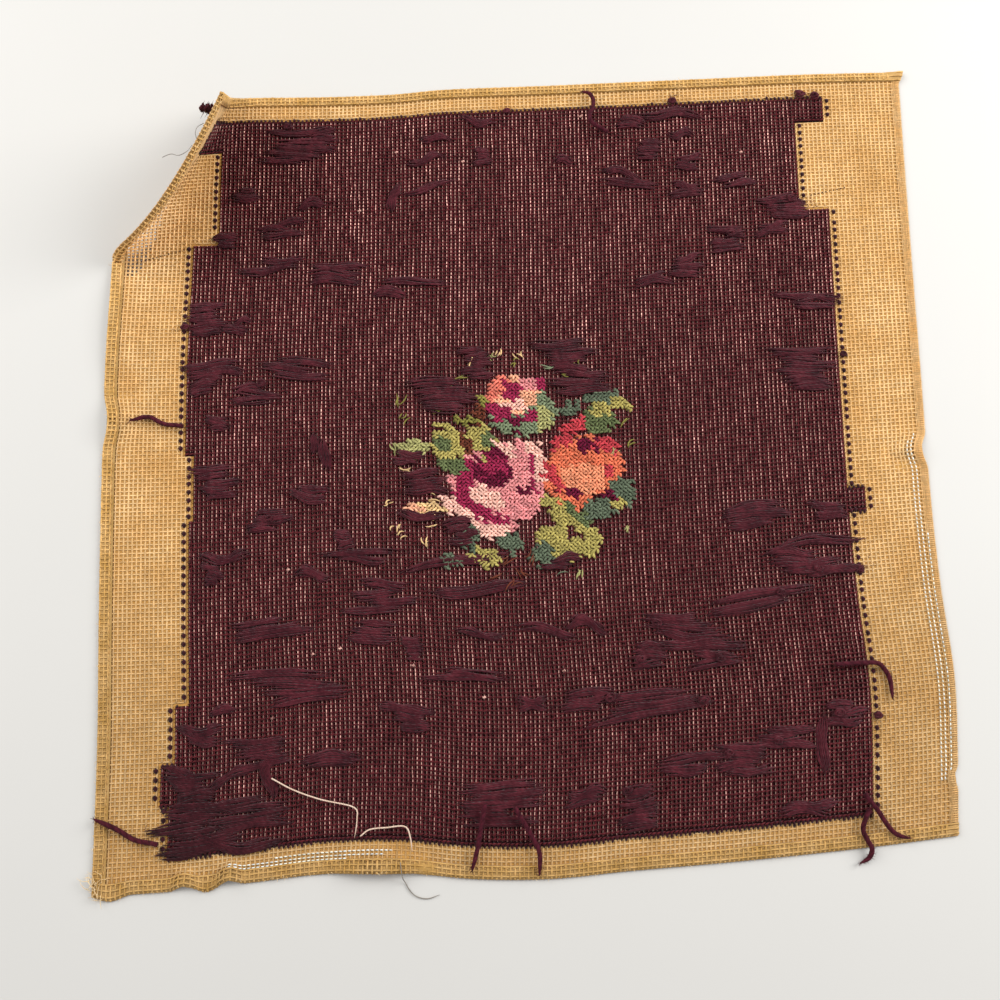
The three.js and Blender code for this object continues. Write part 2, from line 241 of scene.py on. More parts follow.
# Darned-in yarn on the wrong side: half sizes in columns and rows about each middle
DARNS = table("column row long wide", (
    (42, 10, 6, 1), (42, 16, 7, 3.5), (32, 28, 3, 1.6), (48, 31, 4, 1.2), (41, 38, 5, 2.3),
    (27, 41, 3, 2), (37, 48, 7, 2.2), (48, 13, 3.5, 3.5), (76, 14, 5, 1), (74, 20, 6, 1.3),
    (67, 28, 1, 4.5), (76, 28, 7, 1), (88, 10, 4, 1), (88, 20, 3, 2.5), (54, 51, 6, 2.8),
    (73, 54, 9, 1.1), (66, 57, 6, 1.3), (124, 12, 4, 1.8), (132, 10, 7, 1.1), (128, 20, 3, 2.5),
    (136, 16, 3, 1.3), (138, 24, 4, 2.2), (123, 28, 6, 2), (136, 32, 4, 2.2), (148, 30, 5, 2),
    (146, 46, 4, 3.6), (136, 53, 4, 3), (128, 56, 4, 1.6), (161, 38, 5, 3.3), (157, 44, 4, 1.6),
    (108, 22, 3, 1), (22, 62, 5, 4.2), (30, 64, 3, 2), (25, 75, 6, 2), (44, 76, 8, 2.5),
    (23, 79, 3, 2.5), (36, 82, 5, 2.6), (26, 89, 3, 1.8), (26, 104, 5, 4.2), (48, 108, 5, 2),
    (50, 97, 2, 3.6), (38, 114, 5, 2.4), (28, 122, 7, 1.2), (25, 126, 2, 2.5), (48, 128, 5, 1.1),
    (39, 140, 8, 2.3), (42, 154, 10, 4), (28, 158, 4, 1.3), (24, 163, 5, 2.2), (36, 168, 8, 3.3),
    (56, 120, 2, 2.2), (60, 124, 8, 1.6), (80, 126, 11, 1), (66, 134, 7, 3.8), (83, 132, 10, 1.1),
    (62, 142, 5, 2.6), (70, 146, 2, 2.6), (85, 142, 6, 1), (98, 141, 6, 1.1), (84, 152, 8, 1.4),
    (70, 162, 5, 3), (96, 158, 3, 1.7), (106, 158, 6, 2.3), (122, 160, 13, 3), (51, 171, 7, 1.4),
    (88, 180, 9, 4.8), (164, 132, 8, 2), (148, 138, 11, 2), (131, 144, 8, 4), (122, 149, 4, 2.8),
    (138, 150, 6, 2.8), (108, 141, 5, 1.2), (164, 166, 4, 2.8), (152, 170, 7, 2.5), (142, 174, 5, 3.6),
    (130, 174, 8, 2), (119, 183, 4, 5), (160, 174, 1, 9.9), (158, 186, 8, 1.7), (107, 179, 4, 1.6),
    (162, 126, 10, 1.3), (159, 130, 8, 3), (148, 118, 7, 3), (165, 118, 4, 2.2), (164, 64, 7, 2.4),
    (163, 82, 7, 5.4), (22, 176, 6, 5), (23, 184, 8, 4.6), (33, 181, 9, 3.4), (27, 173, 6, 1.2),
    (30, 187, 11, 1.2), (19, 172, 4, 2), (38, 174, 1.2, 5),
))

# Long dark floats across the bouquet
FLOATS = table("column row long wide", (
    (78, 84, 6, 4), (87, 76, 4, 4.2), (106, 75, 6, 3.8), (111, 82, 8, 3), (74, 106, 6, 3),
    (70, 100, 4, 1.7), (72, 114, 5, 1.1), (82, 118, 3, 3.2), (104, 126, 5, 1.6),
))

# Knots and tufts past the stitching and loops on the darns, with their height over the cloth
KNOTS = table("column row size height", (
    (5.0, 4.5, 3.5, -2.5), (5.0, 4.8, 4.0, -4.5), (5.0, 5.2, 3.5, -6.5), (94, 7, 3.0, 2),
    (134.3, 6.2, 3.2, 2), (165.5, 6.0, 3.6, 2), (169, 6.4, 3.2, 2), (18.5, 64, 2.6, 2),
    (172.1, 79, 2.2, 1.6), (172.1, 133, 2.6, 1.6), (172.2, 167, 2.4, 1.6), (124.9, 141.8, 3.6, 2.6),
    (120.7, 150, 3.2, 2.4), (138.5, 150.7, 3.6, 2.6), (133.8, 160.1, 3.4, 2.8),
    (113.3, 157.8, 3.4, 2.8), (163.5, 165.5, 3.8, 2.8), (149.9, 170.5, 3.2, 2.6),
    (138.8, 172.4, 3, 2.4), (162.6, 132.3, 3.6, 2.8), (153.7, 137, 3, 2.6), (116.6, 178.7, 3.6, 2.8),
    (36.5, 79.5, 3, 2.6), (38.5, 113.8, 3, 2.6), (41.4, 9.1, 3.2, 2.6), (162, 35.9, 3.4, 2.8),
    (147.1, 44.7, 3.4, 2.8),
))

# Loose ends: plan positions on the lying sheet, which their solids follow too
YARN = 2.6
THREAD = 0.8
HAIR = 0.5
LOOSE_ENDS = table("name size route", (
    ("yarn_tail_left", YARN, ((-185, 43), (-197, 45), (-206, 49), (-216, 46))),
    ("yarn_tail_bottom_left", YARN, ((-183, -189), (-196, -187), (-207, -181), (-219, -176))),
    ("yarn_tail_right", YARN, ((186, -94), (203, -93), (211, -94), (216, -101), (217, -113))),
    ("yarn_tail_corner_short", YARN, ((197, -163), (203, -171), (208, -179), (213, -184), (220, -186))),
    ("yarn_tail_corner_long", YARN,
     ((199, -171), (196, -177), (195, -182), (197, -187), (199, -191), (198, -196), (193, -199))),
    ("yarn_tail_bottom_low", YARN, ((-8, -168), (-9, -174), (-12, -191), (-15, -203))),
    ("yarn_tail_bottom_high", YARN, ((8, -170), (16, -183), (21, -193), (21, -205))),
    ("yarn_tail_top", YARN,
     ((67, 233), (62, 236), (57, 240), (56, 245), (58, 250), (58.5, 256), (56, 261), (51, 262))),
    ("cream_thread_long", THREAD,
     ((-124, -155), (-112, -161), (-97, -166), (-79, -170), (-77, -176), (-78, -186))),
    ("cream_thread_low", THREAD,
     ((-75, -185), (-70, -181.5), (-61, -180.5), (-51, -180), (-48, -186), (-47, -193))),
    ("grey_thread", HAIR, ((-53, -198), (-51, -208), (-46, -215), (-39, -217), (-32, -215))),
))

# Rings along a loose end, the taper of its last ones, and its slot and finish by its size
END_RINGS = 36
END_TIP = (0.97, 0.93, 0.88, 0.8, 0.7, 0.58, 0.42, 0.2)
END_LOOKS = {
    YARN: ("maroon_wool", "maroon_tapestry_wool_yarn"),
    THREAD: ("cream_thread", "cream_sewing_cotton"),
    HAIR: ("grey_thread", "grey_thread_end"),
}

# Two grey fibres that stand out from the raised corner's edge, as curves in millimetres
CORNER_FIBRES = table("row curve", (
    (13.5, ((0, 0), (-2.6, -3.4), (-7.3, -5.6), (-11, -4.4), (-14, -5.0), (-16.5, -6.2))),
    (8.0, ((0, 0), (-3.2, -1.5), (-4.6, -4.5), (-4.0, -8.0))),
))

# Rows of pulled holes beside two steps of the ground, drawn as near-black marks of painted shade
PULLED_HOLES = table("first last row slope", ((6, 17, 46.5, -0.32), (167, 176, 35, -0.2)))

# Frayed cotton at the edges: hairs about a place, with their length and half width, and single
# ones all round, each shorter
FRAYS = table("column row count length thick spread_columns spread_rows", (
    (0.6, ROWS - 2.0, 16, 9.0, 0.2, 1.6, 2.4), (1.5, 12.0, 22, 6.0, 0.16, 1.2, 6.0),
    (1.5, 44.0, 12, 4.0, 0.16, 1.2, 4.0),
))
SINGLE_FRAYS = 90
SINGLE_FRAY = {"count": 1, "length": 2.0, "thick": 0.12, "spread_columns": 0.1, "spread_rows": 0.1}
DARN_HAIRS = {"count": 5, "length": 3.5, "thick": 0.16}
KNOT_HAIRS = {"count": 26, "thick": 0.15, "spread_columns": 1.2, "spread_rows": 1.2}
TAIL_HAIRS = 120

# Missing warp threads up the standing corner, where the table shows through
SLOTS = table("column width first last", (
    (3.75, 0.5, 20, 50), (4.75, 0.5, 15, 50), (5.75, 0.5, 15, 49), (6.75, 0.5, 15, 48),
    (7.75, 0.45, 15, 46), (8.75, 0.45, 16, 43), (9.75, 0.4, 17, 40), (10.75, 0.4, 17, 36),
    (11.75, 0.4, 18, 31),
))

# Small pale knots of canvas thread in the ground
GLINTS = table("column row", (
    (67.3, 17.2), (83.3, 21.1), (42.7, 126.4), (47.7, 146.8), (53.9, 145.8), (85.4, 156.5),
    (112.0, 9.5), (150.5, 22.0), (31.0, 66.0), (58.5, 33.5), (146.0, 121.0), (70.0, 150.0),
    (103.5, 151.0), (38.5, 160.5),
))

# Pale lines up beside the selvedge and along above the bottom hem, in dashes one cell long: painted light,
# pale threads that stand in for the bright table seen where the canvas has pulled open
PALE_LINES = table("way line first last", (
    ("up", 186.3, 103, 184), ("up", 187.3, 101, 184), ("up", 188.5, 126, 182), ("along", 191.4, 40, 66),
    ("along", 192.2, 30, 64), ("along", 192.9, 30, 56),
))

# Single wisps of pale wool about the bouquet: places from its middle in millimetres
WISPS = table("x y long turn colour", (
    (-64, 40, 9, 80, "olive"), (-62, 28, 8, 60, "olive"), (-34, 44, 10, 85, "olive"),
    (-28, 52, 9, 20, "olive"), (-40, 33, 12, 8, "olive"), (-22, 62, 8, 70, "cream"),
    (-12, 66, 7, -50, "pale_leaf"), (-5, 68, 6, 80, "cream"), (6, 67, 7, -60, "cream"),
    (2, 62, 6, 40, "olive"), (22, 58, 8, 10, "sage"), (40, 62, 8, 75, "olive"), (34, 53, 7, 0, "olive"),
    (-54, 4, 10, 10, "pale_leaf"), (-66, 8, 8, -70, "pale_leaf"), (-60, -4, 8, -20, "cream"),
    (-66, -38, 6, 80, "cream"), (-62, -42, 6, 10, "cream"), (-48, -46, 7, -70, "cream"),
    (-44, -34, 6, 20, "cream"), (-70, -22, 5, 60, "cream"), (-44, -18, 9, 12, "cream"),
    (68, 26, 9, 60, "olive"), (72, 12, 8, 30, "olive"), (62, 8, 7, 50, "pale_leaf"),
    (66, -38, 6, 80, "pale_leaf"), (48, -52, 8, 60, "leaf"), (40, -64, 8, 75, "pale_leaf"),
    (30, -62, 9, 5, "teal"), (22, -60, 9, 10, "teal"), (0, -58, 12, 20, "rust"),
    (8, -64, 10, -40, "rust"), (2, -70, 9, 60, "rust"), (12, -56, 8, 80, "rust"),
    (-8, -66, 7, 10, "rust"),
))


# Finishes of spun fibre, each with what it gives the eye. low and high are the colours that it
# drifts between, over patches of its size: settings, hex values or plain factors for a tint.
# fibre and depth are the size and relief of its hair, and twist is one turn of its plies, all in
# millimetres with patch. The grooves between its plies get painted shade. sheen is how hazy its edge is,
# and tinted says that its mesh has tints.
FINISHES = {row["name"]: row for row in table("name low high patch fibre depth sheen tinted twist", (
    # Tapestry wool: soft two-ply yarn, with painted shade in its grooves and hazy at its edge
    ("maroon_tapestry_wool_yarn", "#38101A", "#551C28", 3.0, 0.35, 0.5, 0.03, False, 4.5),
    # Cream sewing cotton: smooth, pale and tightly twisted
    ("cream_sewing_cotton", "#D6B79E", "#EBD2BE", 4.0, 0.2, 0.15, 0.1, False, 1.5),
    # Fine grey thread: dull and a little fuzzy
    ("grey_thread_end", "#6E675F", "#8E867B", 4.0, 0.2, 0.1, 0.1, False, 0.0),
    # Cotton canvas: matt, sized thread, golden where it has yellowed
    ("golden_cotton_canvas", "canvas_dark", "canvas_light", 26.0, 0.5, 0.2, 0.05, True, 0.0),
    # The doubled hem: the same cotton, with smaller patches of yellowing
    ("folded_cotton_hem", "hem_dark", "hem_light", 9.0, 0.5, 0.2, 0.05, True, 0.0),
    # Cotton deep in the mesh: the same thread, tinted with painted shade, tan in the holes of the bare canvas
    # and near black in the ground's stitch holes
    ("cotton_between_threads", 0.85, 1.0, 12.0, 0.6, 0.1, 0.05, True, 0.0),
    # Selvedge: the same cotton beaten up close, so it is smoother and more orange
    ("dense_cotton_selvedge", "selvedge", "canvas_light", 14.0, 0.6, 0.15, 0.05, True, 0.0),
    # Sewing cotton in short pulled stitches, darker than the canvas: its dark is painted shade along the
    # hems' folds
    ("hem_sewing_cotton", "#B0824A", "#DDB070", 5.0, 0.3, 0.1, 0.05, False, 0.0),
    # Tapestry wool in rows of back stitches: matt, hairy, paler on its worn tops
    ("maroon_tapestry_wool", "maroon_dark", "maroon_light", 4.0, 0.6, 0.3, 0.03, False, 0.0),
    # Bare cotton beside the wool: pinkish with dye, and seen in short broken runs
    ("dyed_bare_cotton", "#5A2A2B", "glint", 3.0, 0.5, 0.1, 0.0, True, 0.0),
    # Wool deep in the turn: nearly black maroon. It also draws the pulled holes, whose dark is painted shade
    ("maroon_wool_turns", "deep", "darn_dark", 3.0, 0.4, 0.3, 0.15, False, 0.0),
    # Tapestry wool in many dyes: plump and soft, with painted shade in the gaps between stitches and a
    # painted highlight on their upper layer
    ("dyed_tapestry_wools", 0.93, 1.17, 2.6, 0.5, 0.35, 0.05, True, 0.0),
    # Tapestry wool laid in long combed strands: purplish maroon with soft plies
    ("combed_maroon_wool", "darn_dark", "darn_light", 7.0, 0.4, 0.4, 0.08, True, 3.5),
    # Single wool hairs: thin and dull
    ("loose_wool_hairs", "darn_dark", "darn_light", 4.0, 0.3, 0.1, 0.05, False, 0.0),
    # Frayed cotton: single pale fibres pulled out of the cut edges
    ("frayed_cotton", "canvas_light", "#F3DDB0", 4.0, 0.3, 0.1, 0.1, False, 0.0),
    # Single grey fibre: dull and soft
    ("stray_grey_fibre", "#6E675F", "#9A9288", 4.0, 0.3, 0.1, 0.05, False, 0.0),
    # Tapestry wool in tent stitch, under a relief of slanted ovals: matt and even
    ("wool_tent_stitch", 0.85, 1.0, 5.0, 0.6, 0.3, 0.2, True, 0.0),
))}

# Cross-sections of strands: half sizes in millimetres, and how they thin out from end to end
SECTIONS = {
    "selvedge_loop": {"wide": 0.38, "thick": 0.4, "taper": (0.6, 1, 0.8)},
    "pale_dash": {"wide": 0.46, "thick": 0.3, "taper": (0.8, 1, 0.8)},
    "seam": {"wide": 0.26, "thick": 0.2, "taper": (0.5, 1, 0.5)},
    "upright": {"wide": 0.45, "thick": 0.4},
    "bare_cotton": {"wide": 0.38, "thick": 0.34},
    "glint": {"wide": 0.36, "thick": 0.34},
    "edge_turn": {"wide": 1.25, "thick": 0.6, "sides": 6, "taper": (0.45, 1, 1, 0.45)},
    "edge_tooth": {"wide": 0.85, "thick": 0.6, "sides": 6, "taper": (0.5, 1, 1, 0.5)},
    "pulled_hole": {"wide": 0.5, "thick": 0.3, "sides": 6, "taper": (0.45, 1, 1, 0.45)},
    "underlay": {"wide": 1.35, "thick": 0.7},
    "wisp": {"wide": 0.42, "thick": 0.4, "sides": 4, "taper": (0.3, 0.8, 1, 1, 0.7, 0.2)},
    "knot": {"wide": 0.55, "thick": 0.5, "sides": 4, "taper": (0.3, 0.9, 1, 1, 1, 1, 0.9, 0.3)},
    "stray_fibre": {"wide": 0.2, "thick": 0.2},
    "tail_hair": {"wide": 0.14, "thick": 0.14, "taper": (1, 1, 0.8, 0.4)},
}


# The cloth's surface

def on_edge(points, at):
    """A smooth curve through an edge table, read at places along it."""
    points = np.array(sorted(points), dtype=float)
    along, across = points.T
    last = len(points) - 1
    before = np.maximum(np.arange(last + 1) - 1, 0)
    after = np.minimum(np.arange(last + 1) + 1, last)
    slope = (across[after] - across[before]) / (along[after] - along[before])
    b = np.clip(np.searchsorted(along, at), 1, last)
    a = b - 1
    span = along[b] - along[a]
    t = (at - along[a]) / span
    rise = across[a] * (1 + 2 * t) * (1 - t) ** 2 + across[b] * t * t * (3 - 2 * t)
    return rise + span * (slope[a] * t * (1 - t) ** 2 - slope[b] * t * t * (1 - t))


def mix(a, b, share):
    """The value that lies a share of the way from a to b."""
    return a + (b - a) * share


def lay_flat(column, row):
    """The flat sheet: a patch between its four edges."""
    s = column / COLUMNS
    t = row / ROWS
    top_x = mix(TOP_EDGE[0][0], TOP_EDGE[-1][0], s)
    bottom_x = mix(BOTTOM_EDGE[0][0], BOTTOM_EDGE[-1][0], s)
    left_y = mix(LEFT_EDGE[0][0], LEFT_EDGE[-1][0], t)
    right_y = mix(RIGHT_EDGE[0][0], RIGHT_EDGE[-1][0], t)
    bow_left = on_edge(LEFT_EDGE, left_y) - mix(TOP_EDGE[0][0], BOTTOM_EDGE[0][0], t)
    bow_right = on_edge(RIGHT_EDGE, right_y) - mix(TOP_EDGE[-1][0], BOTTOM_EDGE[-1][0], t)
    bow_top = on_edge(TOP_EDGE, top_x) - mix(LEFT_EDGE[0][0], RIGHT_EDGE[0][0], s)
    bow_bottom = on_edge(BOTTOM_EDGE, bottom_x) - mix(LEFT_EDGE[-1][0], RIGHT_EDGE[-1][0], s)
    x = mix(top_x, bottom_x, t) + mix(bow_left, bow_right, s)
    y = mix(left_y, right_y, s) + mix(bow_top, bow_bottom, t)
    return x, y


def bump(away):
    """A round bump that is 1 in its middle and 0 one span away."""
    away = np.clip(np.abs(away), 0, 1)
    return (1 + np.cos(np.pi * away)) / 2


def underside(column, row):
    """Points of the sheet's underside, in millimetres about the lying sheet's middle."""
    x, y = lay_flat(column, row)
    z = np.zeros_like(x)
    edges = {
        "left": (row, column * PITCH_COLUMN, -1, 0),
        "right": (row, (COLUMNS - column) * PITCH_COLUMN, 1, 0),
        "bottom": (column, (ROWS - row) * PITCH_ROW, 0, -1),
    }
    for kink in KINKS:
        along, depth, out_x, out_y = edges[kink["edge"]]
        share = bump((along - kink["at"]) / kink["span"]) * bump(depth / kink["reach"])
        x = x + out_x * kink["push"] * share
        y = y + out_y * kink["push"] * share
        z = z + kink["lift"] * share
    down = TOP_EDGE[0][1] - y
    width = CURL_START * np.clip(1 - down / CURL_DOWN, 0, 1) ** CURL_POWER
    start = on_edge(LEFT_EDGE, y) + width
    past = np.where(width > 0, np.maximum(start - x, 0), 0)
    bend = np.minimum(past, CURL_RADIUS * CURL_ANGLE)
    turn = bend / CURL_RADIUS
    out = CURL_RADIUS * np.sin(turn) + (past - bend) * math.cos(CURL_ANGLE)
    up = CURL_RADIUS * (1 - np.cos(turn)) + (past - bend) * math.sin(CURL_ANGLE)
    x = np.where(past > 0, start - out, x)
    return np.stack((x, y - CURL_PULL * up, z + up), axis=-1) - MIDDLE


def normals(column, row):
    """The upward normals of the cloth."""
    step = 0.5
    across = underside(column + step, row) - underside(column - step, row)
    down = underside(column, row + step) - underside(column, row - step)
    normal = np.cross(down, across)
    return normal / np.linalg.norm(normal, axis=-1, keepdims=True)


def on_cloth(column, row, height):
    """Points at a height above the underside, square to the cloth, and their normals."""
    column, row, height = np.broadcast_arrays(*(np.asarray(v, dtype=float) for v in (column, row, height)))
    normal = normals(column, row)
    return underside(column, row) + normal * height[..., None], normal


def is_ground(column, row, inset=1):
    """Whether places are inside the stitched ground. Its outermost columns hold only wool turns."""
    inside = np.zeros(np.broadcast(column, row).shape, dtype=bool)
    for band in GROUND:
        inside |= ((row > band["first"]) & (row < band["last"])
                   & (column > band["left"] + inset) & (column < band["right"] - inset))
    return inside


def from_bouquet(column, row):
    """Places about the bouquet's middle, in millimetres."""
    x, y = lay_flat(column, row)
    return x - BOUQUET[0], y - BOUQUET[1]


def to_cell(x, y):
    """Columns and rows of the cells at flat places, near enough for loose wool."""
    column = np.full_like(x, COLUMNS / 2)
    row = np.full_like(x, ROWS / 2)
    for _ in range(6):
        flat_x, flat_y = lay_flat(column, row)
        column = column + (x - flat_x) / PITCH_COLUMN
        row = row - (y - flat_y) / PITCH_ROW
    return column, row


def runs(inside):
    """The first and last place of each run of true values."""
    steps = np.diff(np.concatenate(([0], inside.astype(int), [0])))
    return zip(np.flatnonzero(steps == 1), np.flatnonzero(steps == -1) - 1)


# Colours and materials

def linear(colour):
    """A linear colour from an sRGB hex value."""
    parts = [int(colour[i:i + 2], 16) / 255 for i in (1, 3, 5)]
    return tuple(c / 12.92 if c <= 0.04045 else ((c + 0.055) / 1.055) ** 2.4 for c in parts)


def add_node(material, kind, inputs=None, **settings):
    """Adds a node with its settings, and its inputs as links or plain values."""
    tree = material.node_tree
    node = tree.nodes.new(kind)
    for key, value in settings.items():
        setattr(node, key, value)
    for key, value in (inputs or {}).items():
        if isinstance(value, bpy.types.NodeSocket):
            tree.links.new(value, node.inputs[key])
        else:
            node.inputs[key].default_value = value
    return node


def shade(value):
    """A linear colour from the name of a setting, a hex value or one plain factor."""
    if isinstance(value, float):
        return (value,) * 3
    return linear(value) if value.startswith("#") else getattr(colours(), value)


def spun(name):
    """The material of one finish: drifting colour, fine hair, and plies with painted shade in their grooves
    where it has a twist.
    """
    if name in bpy.data.materials:
        return bpy.data.materials[name]
    finish = FINISHES[name]
    low, high = shade(finish["low"]), shade(finish["high"])
    twist = finish["twist"]
    material = bpy.data.materials.new(name)
    material.use_nodes = True
    shader = material.node_tree.nodes["Principled BSDF"]
    places = add_node(material, "ShaderNodeTexCoord")
    drift = add_node(material, "ShaderNodeTexNoise", {
        "Vector": places.outputs["Object"], "Scale": 1 / (finish["patch"] * MM),
        "Detail": 3.0, "Roughness": 0.6,
    })
    spread = add_node(material, "ShaderNodeMapRange", {
        "Value": drift.outputs["Fac"], "From Min": 0.32, "From Max": 0.68,
    })
    colour = add_node(material, "ShaderNodeMix", {
        0: spread.outputs["Result"], 6: (*low, 1), 7: (*high, 1),
    }, data_type="RGBA").outputs[2]
    if finish["tinted"]:
        tint = add_node(material, "ShaderNodeAttribute", attribute_name="tint")
        colour = add_node(material, "ShaderNodeMix", {
            0: 1.0, 6: colour, 7: tint.outputs["Color"],
        }, data_type="RGBA", blend_type="MULTIPLY").outputs[2]
    hair = add_node(material, "ShaderNodeTexNoise", {
        "Vector": places.outputs["Object"], "Scale": 1 / (finish["fibre"] * MM),
        "Detail": 4.0, "Roughness": 0.7,
    })
    relief = hair.outputs["Fac"]
    if twist:
        parts = add_node(material, "ShaderNodeSeparateXYZ", {0: places.outputs["UV"]})
        along = add_node(material, "ShaderNodeMath", {
            0: parts.outputs["X"], 1: 1 / twist,
        }, operation="MULTIPLY")
        around = add_node(material, "ShaderNodeMath", {
            0: parts.outputs["Y"], 1: 2.0, 2: along.outputs[0],
        }, operation="MULTIPLY_ADD")
        ply = add_node(material, "ShaderNodeMath", {0: around.outputs[0], 1: 0.5}, operation="PINGPONG")
        relief = add_node(material, "ShaderNodeMath", {
            0: ply.outputs[0], 1: 1.4, 2: relief,
        }, operation="MULTIPLY_ADD").outputs[0]
        # Painted shade: the colour darkens to 0.55 of itself in the grooves between the plies
        groove_shade = add_node(material, "ShaderNodeMapRange", {
            "Value": ply.outputs[0], "From Min": 0.0, "From Max": 0.22, "To Min": 0.55, "To Max": 1.0,
        })
        colour = add_node(material, "ShaderNodeVectorMath", {
            0: colour, "Scale": groove_shade.outputs["Result"],
        }, operation="SCALE").outputs[0]
    light = add_node(material, "ShaderNodeMapRange", {
        "Value": hair.outputs["Fac"], "From Min": 0.3, "From Max": 0.7, "To Min": 0.82, "To Max": 1.15,
    })
    colour = add_node(material, "ShaderNodeVectorMath", {
        0: colour, "Scale": light.outputs["Result"],
    }, operation="SCALE").outputs[0]
    relief = add_node(material, "ShaderNodeBump", {
        "Strength": 0.5, "Distance": finish["depth"] * MM, "Height": relief,
    })
    material.node_tree.links.new(colour, shader.inputs["Base Color"])
    material.node_tree.links.new(relief.outputs["Normal"], shader.inputs["Normal"])
    shader.inputs["Roughness"].default_value = 0.92
    shader.inputs["Specular IOR Level"].default_value = 0.12
    shader.inputs["Sheen Weight"].default_value = finish["sheen"]
    shader.inputs["Sheen Roughness"].default_value = 0.5
    return material


# Meshes

def finish_piece(obj, finish):
    """Gives a piece its material and the body it rides on."""
    obj.data.materials.append(spun(finish))
    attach(obj, "root")
    return obj


def make_object(name, points, faces, uvs, tints=None, domain="POINT"):
    """A smooth mesh object from points in millimetres, faces, a UV map and perhaps tints."""
    mesh = bpy.data.meshes.new(name)
    mesh.from_pydata((np.asarray(points) * MM).tolist(), [], faces)
    layer = mesh.uv_layers.new(name="UVMap")
    layer.data.foreach_set("uv", np.asarray(uvs, dtype=np.float32).ravel())
    if tints is not None:
        layer = mesh.color_attributes.new("tint", "FLOAT_COLOR", domain)
        layer.data.foreach_set("color", with_alpha(tints).ravel())
    mesh.polygons.foreach_set("use_smooth", np.full(len(mesh.polygons), True))
    mesh.update()
    obj = bpy.data.objects.new(name, mesh)
    bpy.context.scene.collection.objects.link(obj)
    return obj


def with_alpha(tints):
    """Colours with an opaque alpha beside them."""
    tints = np.asarray(tints, dtype=np.float32)
    return np.concatenate((tints, np.ones((len(tints), 1), dtype=np.float32)), axis=1)


